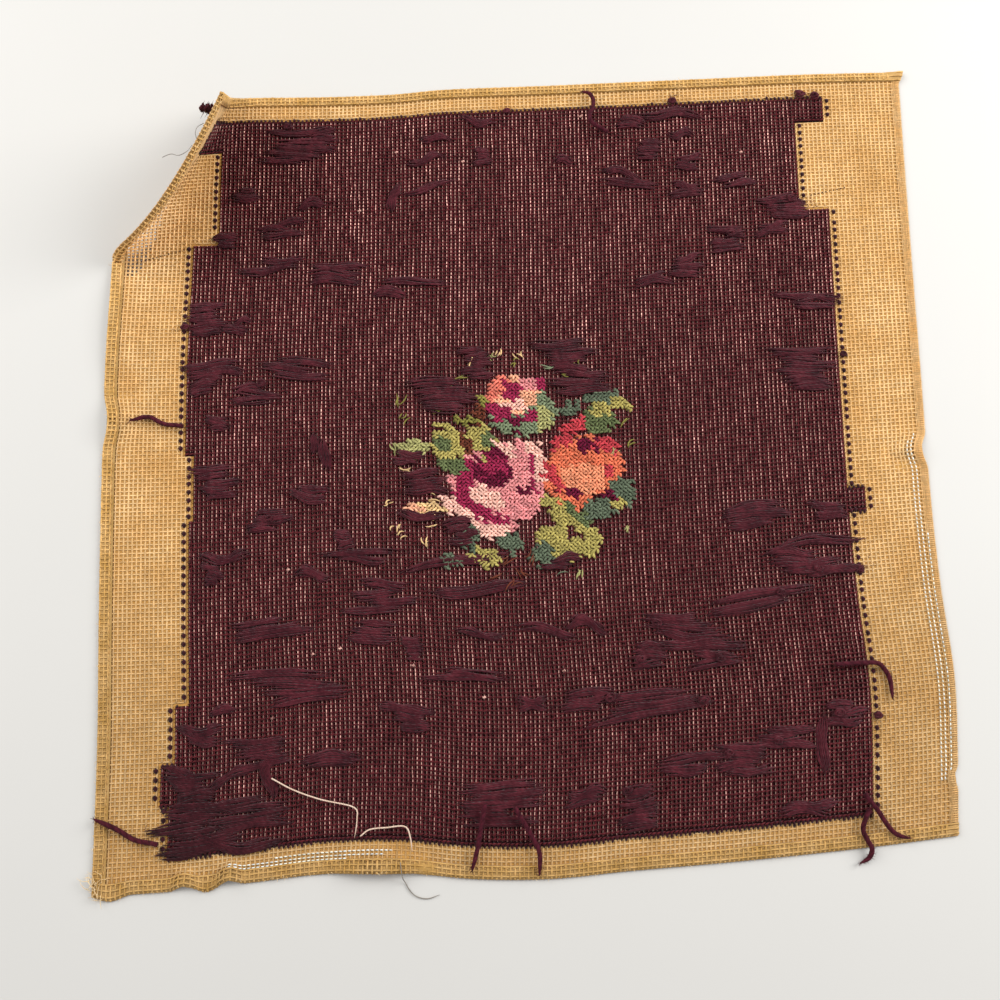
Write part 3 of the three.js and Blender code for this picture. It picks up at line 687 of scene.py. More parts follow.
class Strands:
    """Many closed strands of yarn or thread, gathered into one mesh."""

    def __init__(self):
        self.points = []
        self.tints = []
        self.quads = []
        self.caps = []
        self.quad_uvs = []
        self.cap_uvs = []
        self.count = 0

    def add(self, paths, ups, wide, thick, sides=3, taper=None, tint=(1.0, 1.0, 1.0)):
        """Adds strands along paths of points. wide and thick are half sizes."""
        paths = np.asarray(paths, dtype=float)
        if paths.ndim == 2:
            paths = paths[None]
        count, rings, _ = paths.shape
        ups = np.broadcast_to(ups, paths.shape)
        tangent = np.gradient(paths, axis=1)
        side = np.cross(tangent, ups)
        side /= np.linalg.norm(side, axis=-1, keepdims=True) + 1e-9
        top = np.cross(side, tangent)
        top /= np.linalg.norm(top, axis=-1, keepdims=True) + 1e-9
        taper = np.ones(rings) if taper is None else np.asarray(taper)
        wide = np.broadcast_to(np.asarray(wide, dtype=float).reshape(-1, 1), (count, 1)) * taper
        thick = np.broadcast_to(np.asarray(thick, dtype=float).reshape(-1, 1), (count, 1)) * taper
        angles = math.pi / 2 + 2 * math.pi * np.arange(sides) / sides
        ring = (side[:, :, None] * (wide[:, :, None] * np.cos(angles))[..., None]
                + top[:, :, None] * (thick[:, :, None] * np.sin(angles))[..., None])
        self.points.append((paths[:, :, None] + ring).reshape(-1, 3))
        tint = np.asarray(tint, dtype=float)
        tint = tint[:, :, None] if tint.ndim == 3 else tint.reshape(-1, 1, 1, 3)
        self.tints.append(np.broadcast_to(tint, (count, rings, sides, 3)).reshape(-1, 3))
        self._faces(paths, count, rings, sides)
        self.count += count * rings * sides

    def lay(self, section, column, row, height, tint=(1.0, 1.0, 1.0)):
        """Lays strands of one cross-section along places on the cloth."""
        points, ups = on_cloth(column, row, height)
        self.add(points, ups, tint=tint, **SECTIONS[section])

    def add_grains(self, paths, ups, wide, thick):
        """Adds plump grains, each drawn out from a ring of three at its middle to both ends."""
        count = len(paths)
        along = paths[:, 2] - paths[:, 0]
        side = np.cross(along, ups)
        side /= np.linalg.norm(side, axis=1, keepdims=True)
        top = np.cross(side, along)
        top /= np.linalg.norm(top, axis=1, keepdims=True)
        angles = math.pi / 2 + 2 * math.pi * np.arange(3) / 3
        ring = (paths[:, 1:2] + side[:, None] * (wide[:, None] * np.cos(angles))[..., None]
                + top[:, None] * (thick * np.sin(angles))[..., None])
        self.points.append(np.concatenate((paths[:, :1], ring, paths[:, 2:]), axis=1).reshape(-1, 3))
        self.tints.append(np.ones((count * 5, 3)))
        corners = np.array(((0, 1, 2), (0, 2, 3), (0, 3, 1), (1, 4, 2), (2, 4, 3), (3, 4, 1)))
        grain = 5 * np.arange(count)[:, None, None] + self.count
        self.caps.append((grain + corners).reshape(-1, 3).tolist())
        u = np.linalg.norm(along, axis=1)[:, None, None] * np.array((0, 0.5, 0.5, 0.5, 1))[corners]
        v = np.broadcast_to(np.array((0, 0, 1 / 3, 2 / 3, 0))[corners], u.shape)
        self.cap_uvs.append(np.stack((u, v), axis=-1).reshape(-1, 2))
        self.count += 5 * count

    def _faces(self, paths, count, rings, sides):
        """Adds the faces of equal strands, with UVs that run along and around them."""
        strand = np.arange(count)[:, None, None] * rings * sides + self.count
        k = np.arange(rings - 1)[None, :, None]
        s = np.arange(sides)[None, None, :]
        after = (s + 1) % sides
        corners = (k * sides + s, (k + 1) * sides + s, (k + 1) * sides + after, k * sides + after)
        self.quads.append(np.stack([strand + c for c in corners], axis=-1).reshape(-1, 4))
        first = np.arange(sides)
        caps = np.stack((first, (rings - 1) * sides + first[::-1]))
        self.caps.append((strand[:, 0, 0, None, None] + caps).reshape(-1, sides).tolist())
        steps = np.linalg.norm(np.diff(paths, axis=1), axis=-1)
        far = np.concatenate((np.zeros((count, 1)), np.cumsum(steps, axis=1)), axis=1)[:, :, None]
        u = [far[:, :-1], far[:, 1:], far[:, 1:], far[:, :-1]]
        v = [s / sides, s / sides, (s + 1) / sides, (s + 1) / sides]
        shape = (count, rings - 1, sides)
        uv = [np.stack((np.broadcast_to(a, shape), np.broadcast_to(b, shape)), axis=-1) for a, b in zip(u, v)]
        self.quad_uvs.append(np.stack(uv, axis=-2).reshape(-1, 2))
        ends = np.stack((far[:, 0, 0], far[:, -1, 0]), axis=1)[:, :, None]
        around = np.stack((first, first[::-1]))[None] / sides
        shape = (count, 2, sides)
        cap_uv = np.stack((np.broadcast_to(ends, shape), np.broadcast_to(around, shape)), axis=-1)
        self.cap_uvs.append(cap_uv.reshape(-1, 2))

    def make(self, name, slot, finish):
        """Makes one finished piece of all the strands."""
        faces = [quad for quads in self.quads for quad in quads.tolist()]
        for caps in self.caps:
            faces.extend(caps)
        uvs = np.concatenate(self.quad_uvs + self.cap_uvs)
        tints = np.concatenate(self.tints) if FINISHES[finish]["tinted"] else None
        return finish_piece(make_object(name, np.concatenate(self.points), faces, uvs, tints), finish)


def slab(name, columns, rows, belongs, low, high, tint):
    """A closed slab over the cells of a grid that belong to it, as in the solids."""
    columns = np.asarray(columns, dtype=float)
    rows = np.asarray(rows, dtype=float)
    grid_columns, grid_rows = np.meshgrid(columns, rows)
    bottom, _ = on_cloth(grid_columns, grid_rows, low)
    top, _ = on_cloth(grid_columns, grid_rows, high)
    points = np.concatenate((bottom.reshape(-1, 3), top.reshape(-1, 3)))
    wide = len(columns)
    layer = wide * len(rows)
    middle_columns, middle_rows = np.meshgrid((columns[1:] + columns[:-1]) / 2, (rows[1:] + rows[:-1]) / 2)
    inside = np.pad(belongs(middle_columns, middle_rows), 1)
    faces = []
    for j, i in zip(*np.nonzero(inside[1:-1, 1:-1])):
        a, b = j * wide + i, j * wide + i + 1
        c, d = b + wide, a + wide
        faces.append((a, b, c, d))
        faces.append((d + layer, c + layer, b + layer, a + layer))
        for open_side, (p, q) in (
            (not inside[j, i + 1], (b, a)), (not inside[j + 2, i + 1], (d, c)),
            (not inside[j + 1, i], (a, d)), (not inside[j + 1, i + 2], (c, b)),
        ):
            if open_side:
                faces.append((p, q, q + layer, p + layer))
    corners = np.concatenate(faces)
    cells = np.stack((grid_columns.ravel(), grid_rows.ravel()), axis=1)
    cells = np.concatenate((cells, cells))
    uvs = cells[corners]
    centres = uvs.reshape(-1, 4, 2).mean(axis=1)
    tints = np.repeat(tint(centres[:, 0], centres[:, 1]), 4, axis=0)
    used, compact = np.unique(corners, return_inverse=True)
    faces = compact.reshape(-1, 4).tolist()
    return make_object(name, points[used], faces, uvs, tints, "CORNER")


def random(group, part=0):
    """A seeded generator of its own for each part of a group of strands."""
    return np.random.default_rng(SEED * 1000 + SEEDS[group] + part)


# Settings

def colour_setting(name, colour, text):
    """A colour that the sidebar shows."""
    return bpy.props.FloatVectorProperty(
        name=name, description=text, subtype="COLOR", size=3, min=0, max=1, default=linear(colour))


def size_setting(name, size, text):
    """A size in millimetres that the sidebar shows."""
    return bpy.props.FloatProperty(name=name, description=text, unit="LENGTH", default=size * MM)


class NeedlepointColours(bpy.types.PropertyGroup):
    """Colours of the canvas and the wool, and of the painted shade in their holes."""
    canvas_light: colour_setting("Canvas, light", "#E9C28A", "Bleached parts of the cotton canvas")
    canvas_dark: colour_setting("Canvas, dark", "#D5A76A", "Golden parts of the cotton canvas")
    # Painted shade: the tan that the cotton sheet shows in the holes of the bare canvas
    canvas_shadow: colour_setting("Canvas, in its holes", "#BA8A48", "Cotton deep between the threads")
    hem_light: colour_setting("Hem, light", "#E6BA78", "Light parts of the doubled hem")
    hem_dark: colour_setting("Hem, dark", "#CC9E56", "Dark parts of the doubled hem")
    selvedge: colour_setting("Selvedge", "#E8B874", "The dense woven edge")
    maroon_light: colour_setting("Maroon, light", "#6B262B", "Worn tops of the maroon stitches")
    maroon_dark: colour_setting("Maroon, dark", "#4A1218", "Maroon wool of the ground")
    darn_light: colour_setting("Darned yarn, light", "#5E232C", "Light strands of the darned-in yarn")
    darn_dark: colour_setting("Darned yarn, dark", "#3C1019", "Dark strands of the darned-in yarn")
    # Painted shade: the near black that the cotton sheet shows in the ground's stitch holes, also the dark
    # end of the wool turns
    deep: colour_setting("Stitch holes", "#1F0508", "The dark between the stitches")
    glint: colour_setting("Bare canvas in the ground", "#FFC9B8", "Canvas that shows between stitches")


class NeedlepointSizes(bpy.types.PropertyGroup):
    """Widths of the threads and stitches."""
    canvas_thread: size_setting("Canvas thread", 0.7, "Width of one canvas thread")
    stitch: size_setting("Stitch width", 1.15, "Width of one stitch of the ground")
    darn: size_setting("Darned strand", 0.95, "Width of one strand of darned-in yarn")


def colours():
    """The colours that are set in the scene."""
    return bpy.context.scene.needlepoint_colours


def sizes():
    """The sizes that are set in the scene."""
    return bpy.context.scene.needlepoint_sizes


# Pieces

class StageOperator(bpy.types.Operator):
    """Adds the floor, the lights and the camera at the photograph's viewing angle."""
    bl_idname = "needlepoint.stage"
    bl_label = "Stage"

    def execute(self, context):
        bpy.ops.mesh.primitive_plane_add(size=FLOOR_SIDE)
        floor = context.object
        floor.name = "floor"
        # Matt white tabletop: an even soft white with the least mottling
        material = bpy.data.materials.new("matt_white_tabletop")
        material.use_nodes = True
        shader = material.node_tree.nodes["Principled BSDF"]
        places = add_node(material, "ShaderNodeTexCoord")
        mottle = add_node(material, "ShaderNodeTexNoise", {"Vector": places.outputs["Object"], "Scale": 6.0})
        colour = add_node(material, "ShaderNodeMix", {
            0: mottle.outputs["Fac"], **{6 + i: (*linear(c), 1) for i, c in enumerate(FLOOR_COLOURS)},
        }, data_type="RGBA")
        material.node_tree.links.new(colour.outputs[2], shader.inputs["Base Color"])
        shader.inputs["Roughness"].default_value = 0.8
        floor.data.materials.append(material)
        for light in LIGHTS:
            self.add_light(context, **light)
        world = bpy.data.worlds.new("studio")
        world.use_nodes = True
        background = world.node_tree.nodes["Background"]
        background.inputs["Color"].default_value = STUDIO_COLOUR
        background.inputs["Strength"].default_value = STUDIO_STRENGTH
        context.scene.world = world
        context.scene.view_settings.view_transform = "Standard"
        self.add_camera(context)
        return {"FINISHED"}

    def add_light(self, context, name, place, side, power):
        """Adds one square studio light that looks at the origin."""
        light = bpy.data.lights.new(name, "AREA")
        light.size = side
        light.energy = power
        obj = bpy.data.objects.new(name, light)
        obj.location = place
        obj.rotation_euler = (-Vector(place)).to_track_quat("-Z", "Y").to_euler()
        context.scene.collection.objects.link(obj)

    def add_camera(self, context):
        """Adds the camera at the photograph's viewing angle."""
        camera = bpy.data.cameras.new("camera")
        camera.sensor_width = CAMERA_SENSOR
        camera.lens = CAMERA_LENS
        obj = bpy.data.objects.new("camera", camera)
        place = Vector(CAMERA_PLACE) * MM
        target = Vector(CAMERA_TARGET) * MM
        obj.location = place
        obj.rotation_euler = (target - place).to_track_quat("-Z", "Y").to_euler()
        context.scene.collection.objects.link(obj)
        context.scene.camera = obj


def smooth_route(route, count):
    """A smooth line through a route's plan points, evenly spaced."""
    route = np.asarray(route, dtype=float) - MIDDLE[:2]
    ends = np.concatenate(([2 * route[0] - route[1]], route, [2 * route[-1] - route[-2]]))
    line = []
    for p, q, r, s in zip(ends[:-3], ends[1:-2], ends[2:-1], ends[3:]):
        t = np.linspace(0, 1, 12, endpoint=False)[:, None]
        line.append(0.5 * (2 * q + (r - p) * t + (2 * p - 5 * q + 4 * r - s) * t ** 2
                           + (3 * q - 3 * r + s - p) * t ** 3))
    line = np.concatenate(line + [route[-1:]])
    far = np.concatenate(([0], np.cumsum(np.linalg.norm(np.diff(line, axis=0), axis=1))))
    at = np.linspace(0, far[-1], count)
    return np.stack((np.interp(at, far, line[:, 0]), np.interp(at, far, line[:, 1])), axis=1)


def solid_heights(name, plan, reach):
    """The middle height of a loose end's solid at each place in plan."""
    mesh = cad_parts[name].data
    points = np.empty(len(mesh.vertices) * 3)
    mesh.vertices.foreach_get("co", points)
    points = points.reshape(-1, 3) / MM
    heights = []
    for place in plan:
        away = np.linalg.norm(points[:, :2] - place, axis=1)
        near = points[away < max(reach, away.min() + 0.3), 2]
        heights.append((near.min() + near.max()) / 2)
    return np.array(heights)


class LooseEndsOperator(bpy.types.Operator):
    """Adds the loose yarn tails and threads."""
    bl_idname = "needlepoint.loose_ends"
    bl_label = "Loose yarn tails and threads"

    def execute(self, context):
        for end in LOOSE_ENDS:
            self.add_end(end, *END_LOOKS[end["size"]])
        return {"FINISHED"}

    def add_end(self, end, slot, finish):
        """Adds one loose end as a strand, at the heights of its solid."""
        size = end["size"]
        count = END_RINGS
        plan = smooth_route(end["route"], count)
        heights = solid_heights(end["name"], plan, 1.2 * size)
        for _ in range(2):
            heights[1:-1] = (heights[:-2] + 2 * heights[1:-1] + heights[2:]) / 4
        path = np.column_stack((plan, heights))
        taper = np.ones(count)
        taper[-len(END_TIP):] = END_TIP
        strand = Strands()
        strand.add(path, (0, 0, 1), size / 2, size / 2, sides=10, taper=taper)
        obj = strand.make(f"{end['name']}_strand", slot, finish)
        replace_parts(obj, end["name"])


def sheet_lines(count, fine_to, coarse, extra):
    """Grid lines of a sheet: every cell near the standing corner, then coarser, plus some more."""
    lines = list(range(fine_to)) + list(range(fine_to, count, coarse)) + [count]
    return sorted(set(float(line) for line in lines + list(extra)))


def is_slot(column, row):
    """Whether places are in the open mesh up the standing corner."""
    inside = np.zeros(np.broadcast(column, row).shape, dtype=bool)
    for slot in SLOTS:
        inside |= ((np.abs(column - slot["column"]) < slot["width"] / 2 + 0.01)
                   & (row > slot["first"]) & (row < slot["last"]))
    return inside


class CanvasOperator(bpy.types.Operator):
    """Adds the canvas: its ground sheet, its woven threads, its hems and its selvedge."""
    bl_idname = "needlepoint.canvas"
    bl_label = "Canvas"

    def execute(self, context):
        sheet = self.add_sheet()
        pieces = [
            self.add_bare("canvas_warp", True, COLUMNS - SELVEDGE, ROWS, WARP_HEIGHT, 1),
            self.add_bare("canvas_weft", False, ROWS, COLUMNS, WEFT_HEIGHT, 2),
            self.add_reverse(), self.add_selvedge(), *self.add_hems(), self.add_seam(),
        ]
        return {"FINISHED"}

    def add_sheet(self):
        """The thin cotton sheet that shows between the threads, tinted with painted shade."""
        slot_lines = [s["column"] + side * s["width"] / 2 for s in SLOTS for side in (-1, 1)]
        band_columns = [band["left"] + 1 for band in GROUND] + [band["right"] - 1 for band in GROUND]
        band_rows = [band[end] for band in GROUND for end in ("first", "last")]
        slot_rows = [s[end] for s in SLOTS for end in ("first", "last")]
        columns = sheet_lines(COLUMNS, CORNER_COLUMNS, 4, slot_lines + band_columns)
        rows = sheet_lines(ROWS, CORNER_ROWS, 3, band_rows + slot_rows)
        # The sheet's tints are painted shade: tan in the holes of the canvas, near black in the ground's
        # stitch holes
        shadow = np.array(colours().canvas_shadow)
        deep = np.array(colours().deep)

        def tint(column, row):
            return np.where(is_ground(column, row)[:, None], deep, shadow)

        sheet = slab("canvas_sheet", columns, rows, lambda c, r: ~is_slot(c, r),
                     SHEET_LOW, SHEET_HIGH, tint)
        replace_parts(finish_piece(sheet, "cotton_between_threads"), "canvas")
        return sheet

    def threads(self, strands, upright, lines, places, height, shown, part,
                pair=PAIR_WIDTH, weave=WEAVE):
        """Adds threads along the lines, over the places where they are shown.

        Canvas threads run in close pairs, so each pair is one band that goes over and under.
        """
        radius = sizes().canvas_thread / MM / 2
        weave = weave if upright else -weave
        rng = random("canvas", part)
        for line in lines:
            here = np.full_like(places, line)
            for first, last in runs(shown(here, places) if upright else shown(places, here)):
                if last - first < 1:
                    continue
                at = places[first:last + 1]
                across = line + rng.normal(0, 0.02) + rng.normal(0, 0.02, at.shape)
                column, row = (across, at) if upright else (at, across)
                lift = height(column, row) if callable(height) else height
                over = weave * np.cos(np.pi * (at + line - 2 * PAIR_LINE))
                points, ups = on_cloth(column, row, lift + over)
                tone = rng.uniform(0.96, 1.03) * rng.uniform(0.8, 1.12, (1, len(at), 1))
                # Painted shade: darker down the panel
                tone = tone * (1 - DARKER * np.clip((row - DARKER_ROW) / DARKER_SPAN, 0, 1))[None, :, None]
                # Painted light: the threads of the standing corner are lightened, most in blue, as if lit
                # more
                corner = (bump((column - 4) / 24) * bump((row - 24) / 48))[None, :, None]
                tone = tone * (1 + corner * np.array((0.3, 0.34, 0.46)))
                strands.add(points, ups, pair * radius * rng.uniform(0.9, 1.08), radius, tint=tone)

    def add_bare(self, name, upright, count, length, height, part):
        """The warp or the weft of the bare canvas, a count of lines across and a length along."""
        places = np.concatenate(([0], np.arange(PAIR_LINE, length), [length]))
        strands = Strands()
        self.threads(strands, upright, np.arange(PAIR_LINE, count), places, height,
                     lambda c, r: ~is_ground(c, r), part)
        return strands.make(name, "cotton_canvas", "golden_cotton_canvas")

    def add_reverse(self):
        """The weave on the other side of the standing corner."""
        def shown(column, row):
            return (underside(column, row)[:, 2] > LIFTED) & ~is_ground(column, row, 0)

        up = np.concatenate(([0], np.arange(PAIR_LINE, CORNER_ROWS)))
        over = np.concatenate(([0], np.arange(PAIR_LINE, CORNER_COLUMNS)))
        strands = Strands()
        self.threads(strands, True, over[1:], up, REVERSE_WARP, shown, 6)
        self.threads(strands, False, up[1:], over, REVERSE_WEFT, shown, 7)
        return strands.make("corner_reverse_weave", "cotton_canvas", "golden_cotton_canvas")

    def add_selvedge(self):
        """The dense woven edge, with the pale dashes of painted light beside it."""
        strands = Strands()
        lines = np.linspace(COLUMNS - SELVEDGE, COLUMNS - 0.1, 8)
        self.threads(strands, True, lines, np.arange(ROWS + 1.0), SELVEDGE_HEIGHT,
                     lambda c, r: np.ones_like(r, dtype=bool), 3, pair=1, weave=0)
        # The weft's loops round the outermost thread
        row = np.arange(0.25, ROWS, 0.5)[:, None]
        column = COLUMNS + np.array((-1.6, -0.7, 0.12))
        tone = random("loops").uniform(0.7, 1.0, (len(row), 1)) * np.ones(3)
        strands.lay("selvedge_loop", column, row, (1.1, 1.35, 0.9), tone)
        # Painted light: pale dashes where the canvas has pulled open, standing in for the bright table seen
        # through it
        rng = random("dashes")
        t = np.array((-0.33, 0.0, 0.33))
        for line in PALE_LINES:
            along = np.arange(float(line["first"]), line["last"])[:, None] + t
            across = np.full_like(along, line["line"])
            column, row = (across, along) if line["way"] == "up" else (along, across)
            pale = np.array((1.2, 2.0, 4.4)) * rng.uniform(0.65, 1.05, (len(along), 1))
            strands.lay("pale_dash", column, row, (1.2, 1.55, 1.2), pale)
        return strands.make("selvedge_threads", "cotton_canvas", "dense_cotton_selvedge")

    def add_hems(self):
        """The folded layer of the three hems, as woven threads over a thin folded strip darkened with painted
        shade.
        """
        def in_hem(column, row):
            return (column <= HEM_LEFT) | (row <= HEM_TOP) | (row >= ROWS - HEM_BOTTOM)

        def height(column, row):
            depth = np.minimum(np.minimum(column / 0.5, row / 0.5), (ROWS - row) / 0.5)
            puff = 1.7 * bump((column - 1.2) / 1.8) * bump((row - 30) / 45)
            return 0.75 + 1.15 * np.sqrt(np.clip(depth, 0, 1)) + puff

        edge = [0, 0.2, 0.6, 1.6]
        columns = [*edge, HEM_LEFT, *range(4, CORNER_COLUMNS, 2), *range(CORNER_COLUMNS, COLUMNS, 6), COLUMNS]
        rows = [*edge, HEM_TOP, *range(4, CORNER_ROWS, 2), *range(CORNER_ROWS, ROWS - 4, 4)]
        rows += [ROWS - HEM_BOTTOM] + [ROWS - line for line in reversed(edge)]
        grid = np.meshgrid(np.asarray(columns, dtype=float), np.asarray(rows, dtype=float))
        # The strip's tint of 0.62 is painted shade where it shows between the hem threads
        strip = slab("hem_strip", columns, rows, in_hem, 0.95, height(*grid) - 0.35,
                     lambda c, r: np.full((len(c), 3), 0.62))
        finish_piece(strip, "folded_cotton_hem")
        strands = Strands()
        fold = [0, 0.12, 0.35]
        far_fold = [ROWS - line for line in reversed(fold)]
        up = np.concatenate((fold, np.arange(1 + PAIR_LINE, ROWS), far_fold))
        over = np.concatenate((fold, np.arange(1 + PAIR_LINE, COLUMNS), [COLUMNS]))
        self.threads(strands, True, np.arange(PAIR_LINE, COLUMNS - SELVEDGE), up, height, in_hem, 4)
        self.threads(strands, False, np.arange(PAIR_LINE, ROWS), over, height, in_hem, 5)
        return strip, strands.make("hem_threads", "cotton_canvas", "folded_cotton_hem")

    def add_seam(self):
        """The running stitches that hold the hems down."""
        # The seam's dark finish is painted shade along the hems' folds
        strands = Strands()
        t = np.array((-0.45, 0.0, 0.45))
        for upright, line, last in (
            (True, HEM_LEFT - 0.35, ROWS - 4), (False, HEM_TOP - 0.35, COLUMNS - 3),
            (False, ROWS - HEM_BOTTOM + 0.35, COLUMNS - 3),
        ):
            along = np.arange(4.0, last, 1.6)[:, None] + t
            across = np.full_like(along, line)
            column, row = (across, along) if upright else (along, across)
            strands.lay("seam", column, row, (1.8, 2.3, 1.8))
        return strands.make("hem_seam", "cream_thread", "hem_sewing_cotton")


def inside_oval(oval, x, y):
    """Whether places are inside one oval of a table."""
    turn = math.radians(oval["turn"])
    along = (x - oval["x"]) * math.cos(turn) + (y - oval["y"]) * math.sin(turn)
    across = (y - oval["y"]) * math.cos(turn) - (x - oval["x"]) * math.sin(turn)
    return (along / oval["long"]) ** 2 + (across / oval["short"]) ** 2 < 1


def chart(column, row):
    """The bouquet's colours at each stitch, and whether a flower or a leaf covers it."""
    rng = random("chart")
    x, y = from_bouquet(column, row)
    x = x + rng.normal(0, 1.1, x.shape)
    y = y + rng.normal(0, 1.1, y.shape)
    names = list(WOOLS)
    palette = np.array([linear(WOOLS[name]) for name in names])
    found = np.full(x.shape, -1)
    for oval in MOTIF:
        found[inside_oval(oval, x, y)] = names.index(oval["colour"])
    for oval in LEAF_GAPS:
        found[inside_oval(oval, x, y)] = -1
    tone = rng.uniform(0.74, 1.16, x.shape)[..., None]
    return palette[found] * tone, found >= 0


def cells():
    """The top-left corners of the ground's cells, with the bouquet's colour and cover of each."""
    column, row = (v.ravel().astype(float) for v in np.meshgrid(np.arange(COLUMNS), np.arange(ROWS)))
    keep = is_ground(column + 0.5, row + 0.5)
    column, row = column[keep], row[keep]
    tint, covered = chart(column, row)
    return column, row, tint, covered


class GroundOperator(bpy.types.Operator):
    """Adds the maroon ground: its slanted stitches, uprights and bare canvas between them."""
    bl_idname = "needlepoint.ground"
    bl_label = "Maroon ground"

    def execute(self, context):
        self.add_stitches("ground_stitches_upper", 0, 98)
        self.add_stitches("ground_stitches_lower", 98, ROWS)
        self.add_uprights()
        self.add_edge_dots()
        return {"FINISHED"}

    def add_stitches(self, name, first, last):
        """The slanted stitches of the ground in a range of rows, one to a cell."""
        column, row, _, covered = cells()
        keep = ~covered & (row >= first) & (row < last)
        column, row = column[keep], row[keep]
        rng = random("stitches", first)
        t = np.array((-0.8, 0.0, 0.8))
        slant = rng.normal(0.36, 0.1, column.shape)[:, None]
        lift = rng.normal(0, 0.12, column.shape)[:, None]
        points, ups = on_cloth(column[:, None] + 0.5 + t, row[:, None] + 0.5 - t * slant,
                               np.array((1.3, 1.7, 1.3)) + lift)
        half = sizes().stitch / MM / 2
        strands = Strands()
        strands.add_grains(points, ups[:, 1], half * rng.uniform(1.0, 1.4, len(column)), 0.55)
        stitches = strands.make(name, "maroon_wool", "maroon_tapestry_wool")
        if first == 0:
            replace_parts(stitches, "wool_ground")

    def add_uprights(self):
        """Upright wool between the holes, and the canvas thread that shows beside it."""
        wool, bare = Strands(), Strands()
        rng = random("uprights")
        rows = np.arange(0.0, ROWS + 1)
        for column in np.arange(float(FIELD_LEFT), FIELD_RIGHT + 1):
            at = np.full_like(rows, column)
            inside = is_ground(at + 0.5, rows + 0.01)
            for first, last in runs(inside):
                fine = range(first, min(last, CORNER_ROWS), 3)
                row = np.array(sorted({*fine, *range(first, last, 9), last}))
                wool.lay("upright", column + 0.72 + rng.normal(0, 0.05, row.shape), row, UPRIGHT_HEIGHT)
                count = max(2, (last - first) // 2)
                row = np.linspace(first, last, count)
                across = column + 0.38 + rng.normal(0, 0.05, count)
                # Painted shade: the bare cotton darkens towards the bottom and the right
                shade_fade = 1.25 - 0.55 * row / ROWS - 0.15 * column / COLUMNS
                drift = 1 + 0.35 * np.sin(0.23 * column + 0.11 * row) * np.sin(0.19 * row - 0.07 * column + 2)
                tone = shade_fade * drift * rng.uniform(0.5, 1.15) * rng.uniform(0.35, 1.4, count)
                bare.lay("bare_cotton", across, row, BARE_HEIGHT, tone[None, :, None] * np.ones(3))
        for knot in GLINTS:
            t = np.linspace(-0.5, 0.5, 3)
            for turn in (0.2, 1.8, 2.7):
                column = knot["column"] + 0.8 * t * math.cos(turn)
                row = knot["row"] + 0.8 * t * math.sin(turn)
                bare.lay("glint", column, row, 2.4 - 2 * t ** 2, 1.05 * np.ones(3))
        wool.make("ground_uprights", "maroon_wool", "maroon_tapestry_wool")
        bare.make("bare_canvas_in_ground", "cotton_canvas", "dyed_bare_cotton")

    def add_edge_dots(self):
        """Where the wool turns round the outermost threads, every second row."""
        rng = random("turns")
        strands = Strands()
        t = np.linspace(-0.62, 0.62, 4)
        for band in GROUND:
            rows = np.arange(band["first"] + 1.0, band["last"], 2.0)
            for column in (band["left"] + 0.05, band["right"] + 0.1):
                row = rows + rng.normal(0, 0.08, rows.shape)
                strands.lay("edge_turn", column + 0.05 * t, row[:, None] + t, (0.9, 1.3, 1.3, 0.9))
        # One tooth to a column along the top and bottom edges
        column = np.arange(FIELD_LEFT + 1.0, FIELD_RIGHT)
        rows = np.arange(ROWS) + 0.5
        worked = is_ground(column[:, None] + 0.5, rows)
        column, worked = column[worked.any(axis=1)], worked[worked.any(axis=1)]
        for edge in (np.argmax(worked, axis=1) + 0.1, ROWS - np.argmax(worked[:, ::-1], axis=1) - 0.1):
            row = edge[:, None] + rng.normal(0, 0.15, edge.shape)[:, None] + t
            strands.lay("edge_tooth", column[:, None] + 0.5 + 0.05 * t, row, (1.0, 1.5, 1.5, 1.0))
        # Painted shade: the pulled holes are drawn as near-black marks
        for mark in PULLED_HOLES:
            column = np.arange(mark["first"], mark["last"], 0.9)
            row = mark["row"] + mark["slope"] * (column - mark["first"])
            strands.lay("pulled_hole", column[:, None] + 0.22 * t, row[:, None] + 0.02 * t, 1.2)
        strands.make("wool_turns", "maroon_wool", "maroon_wool_turns")


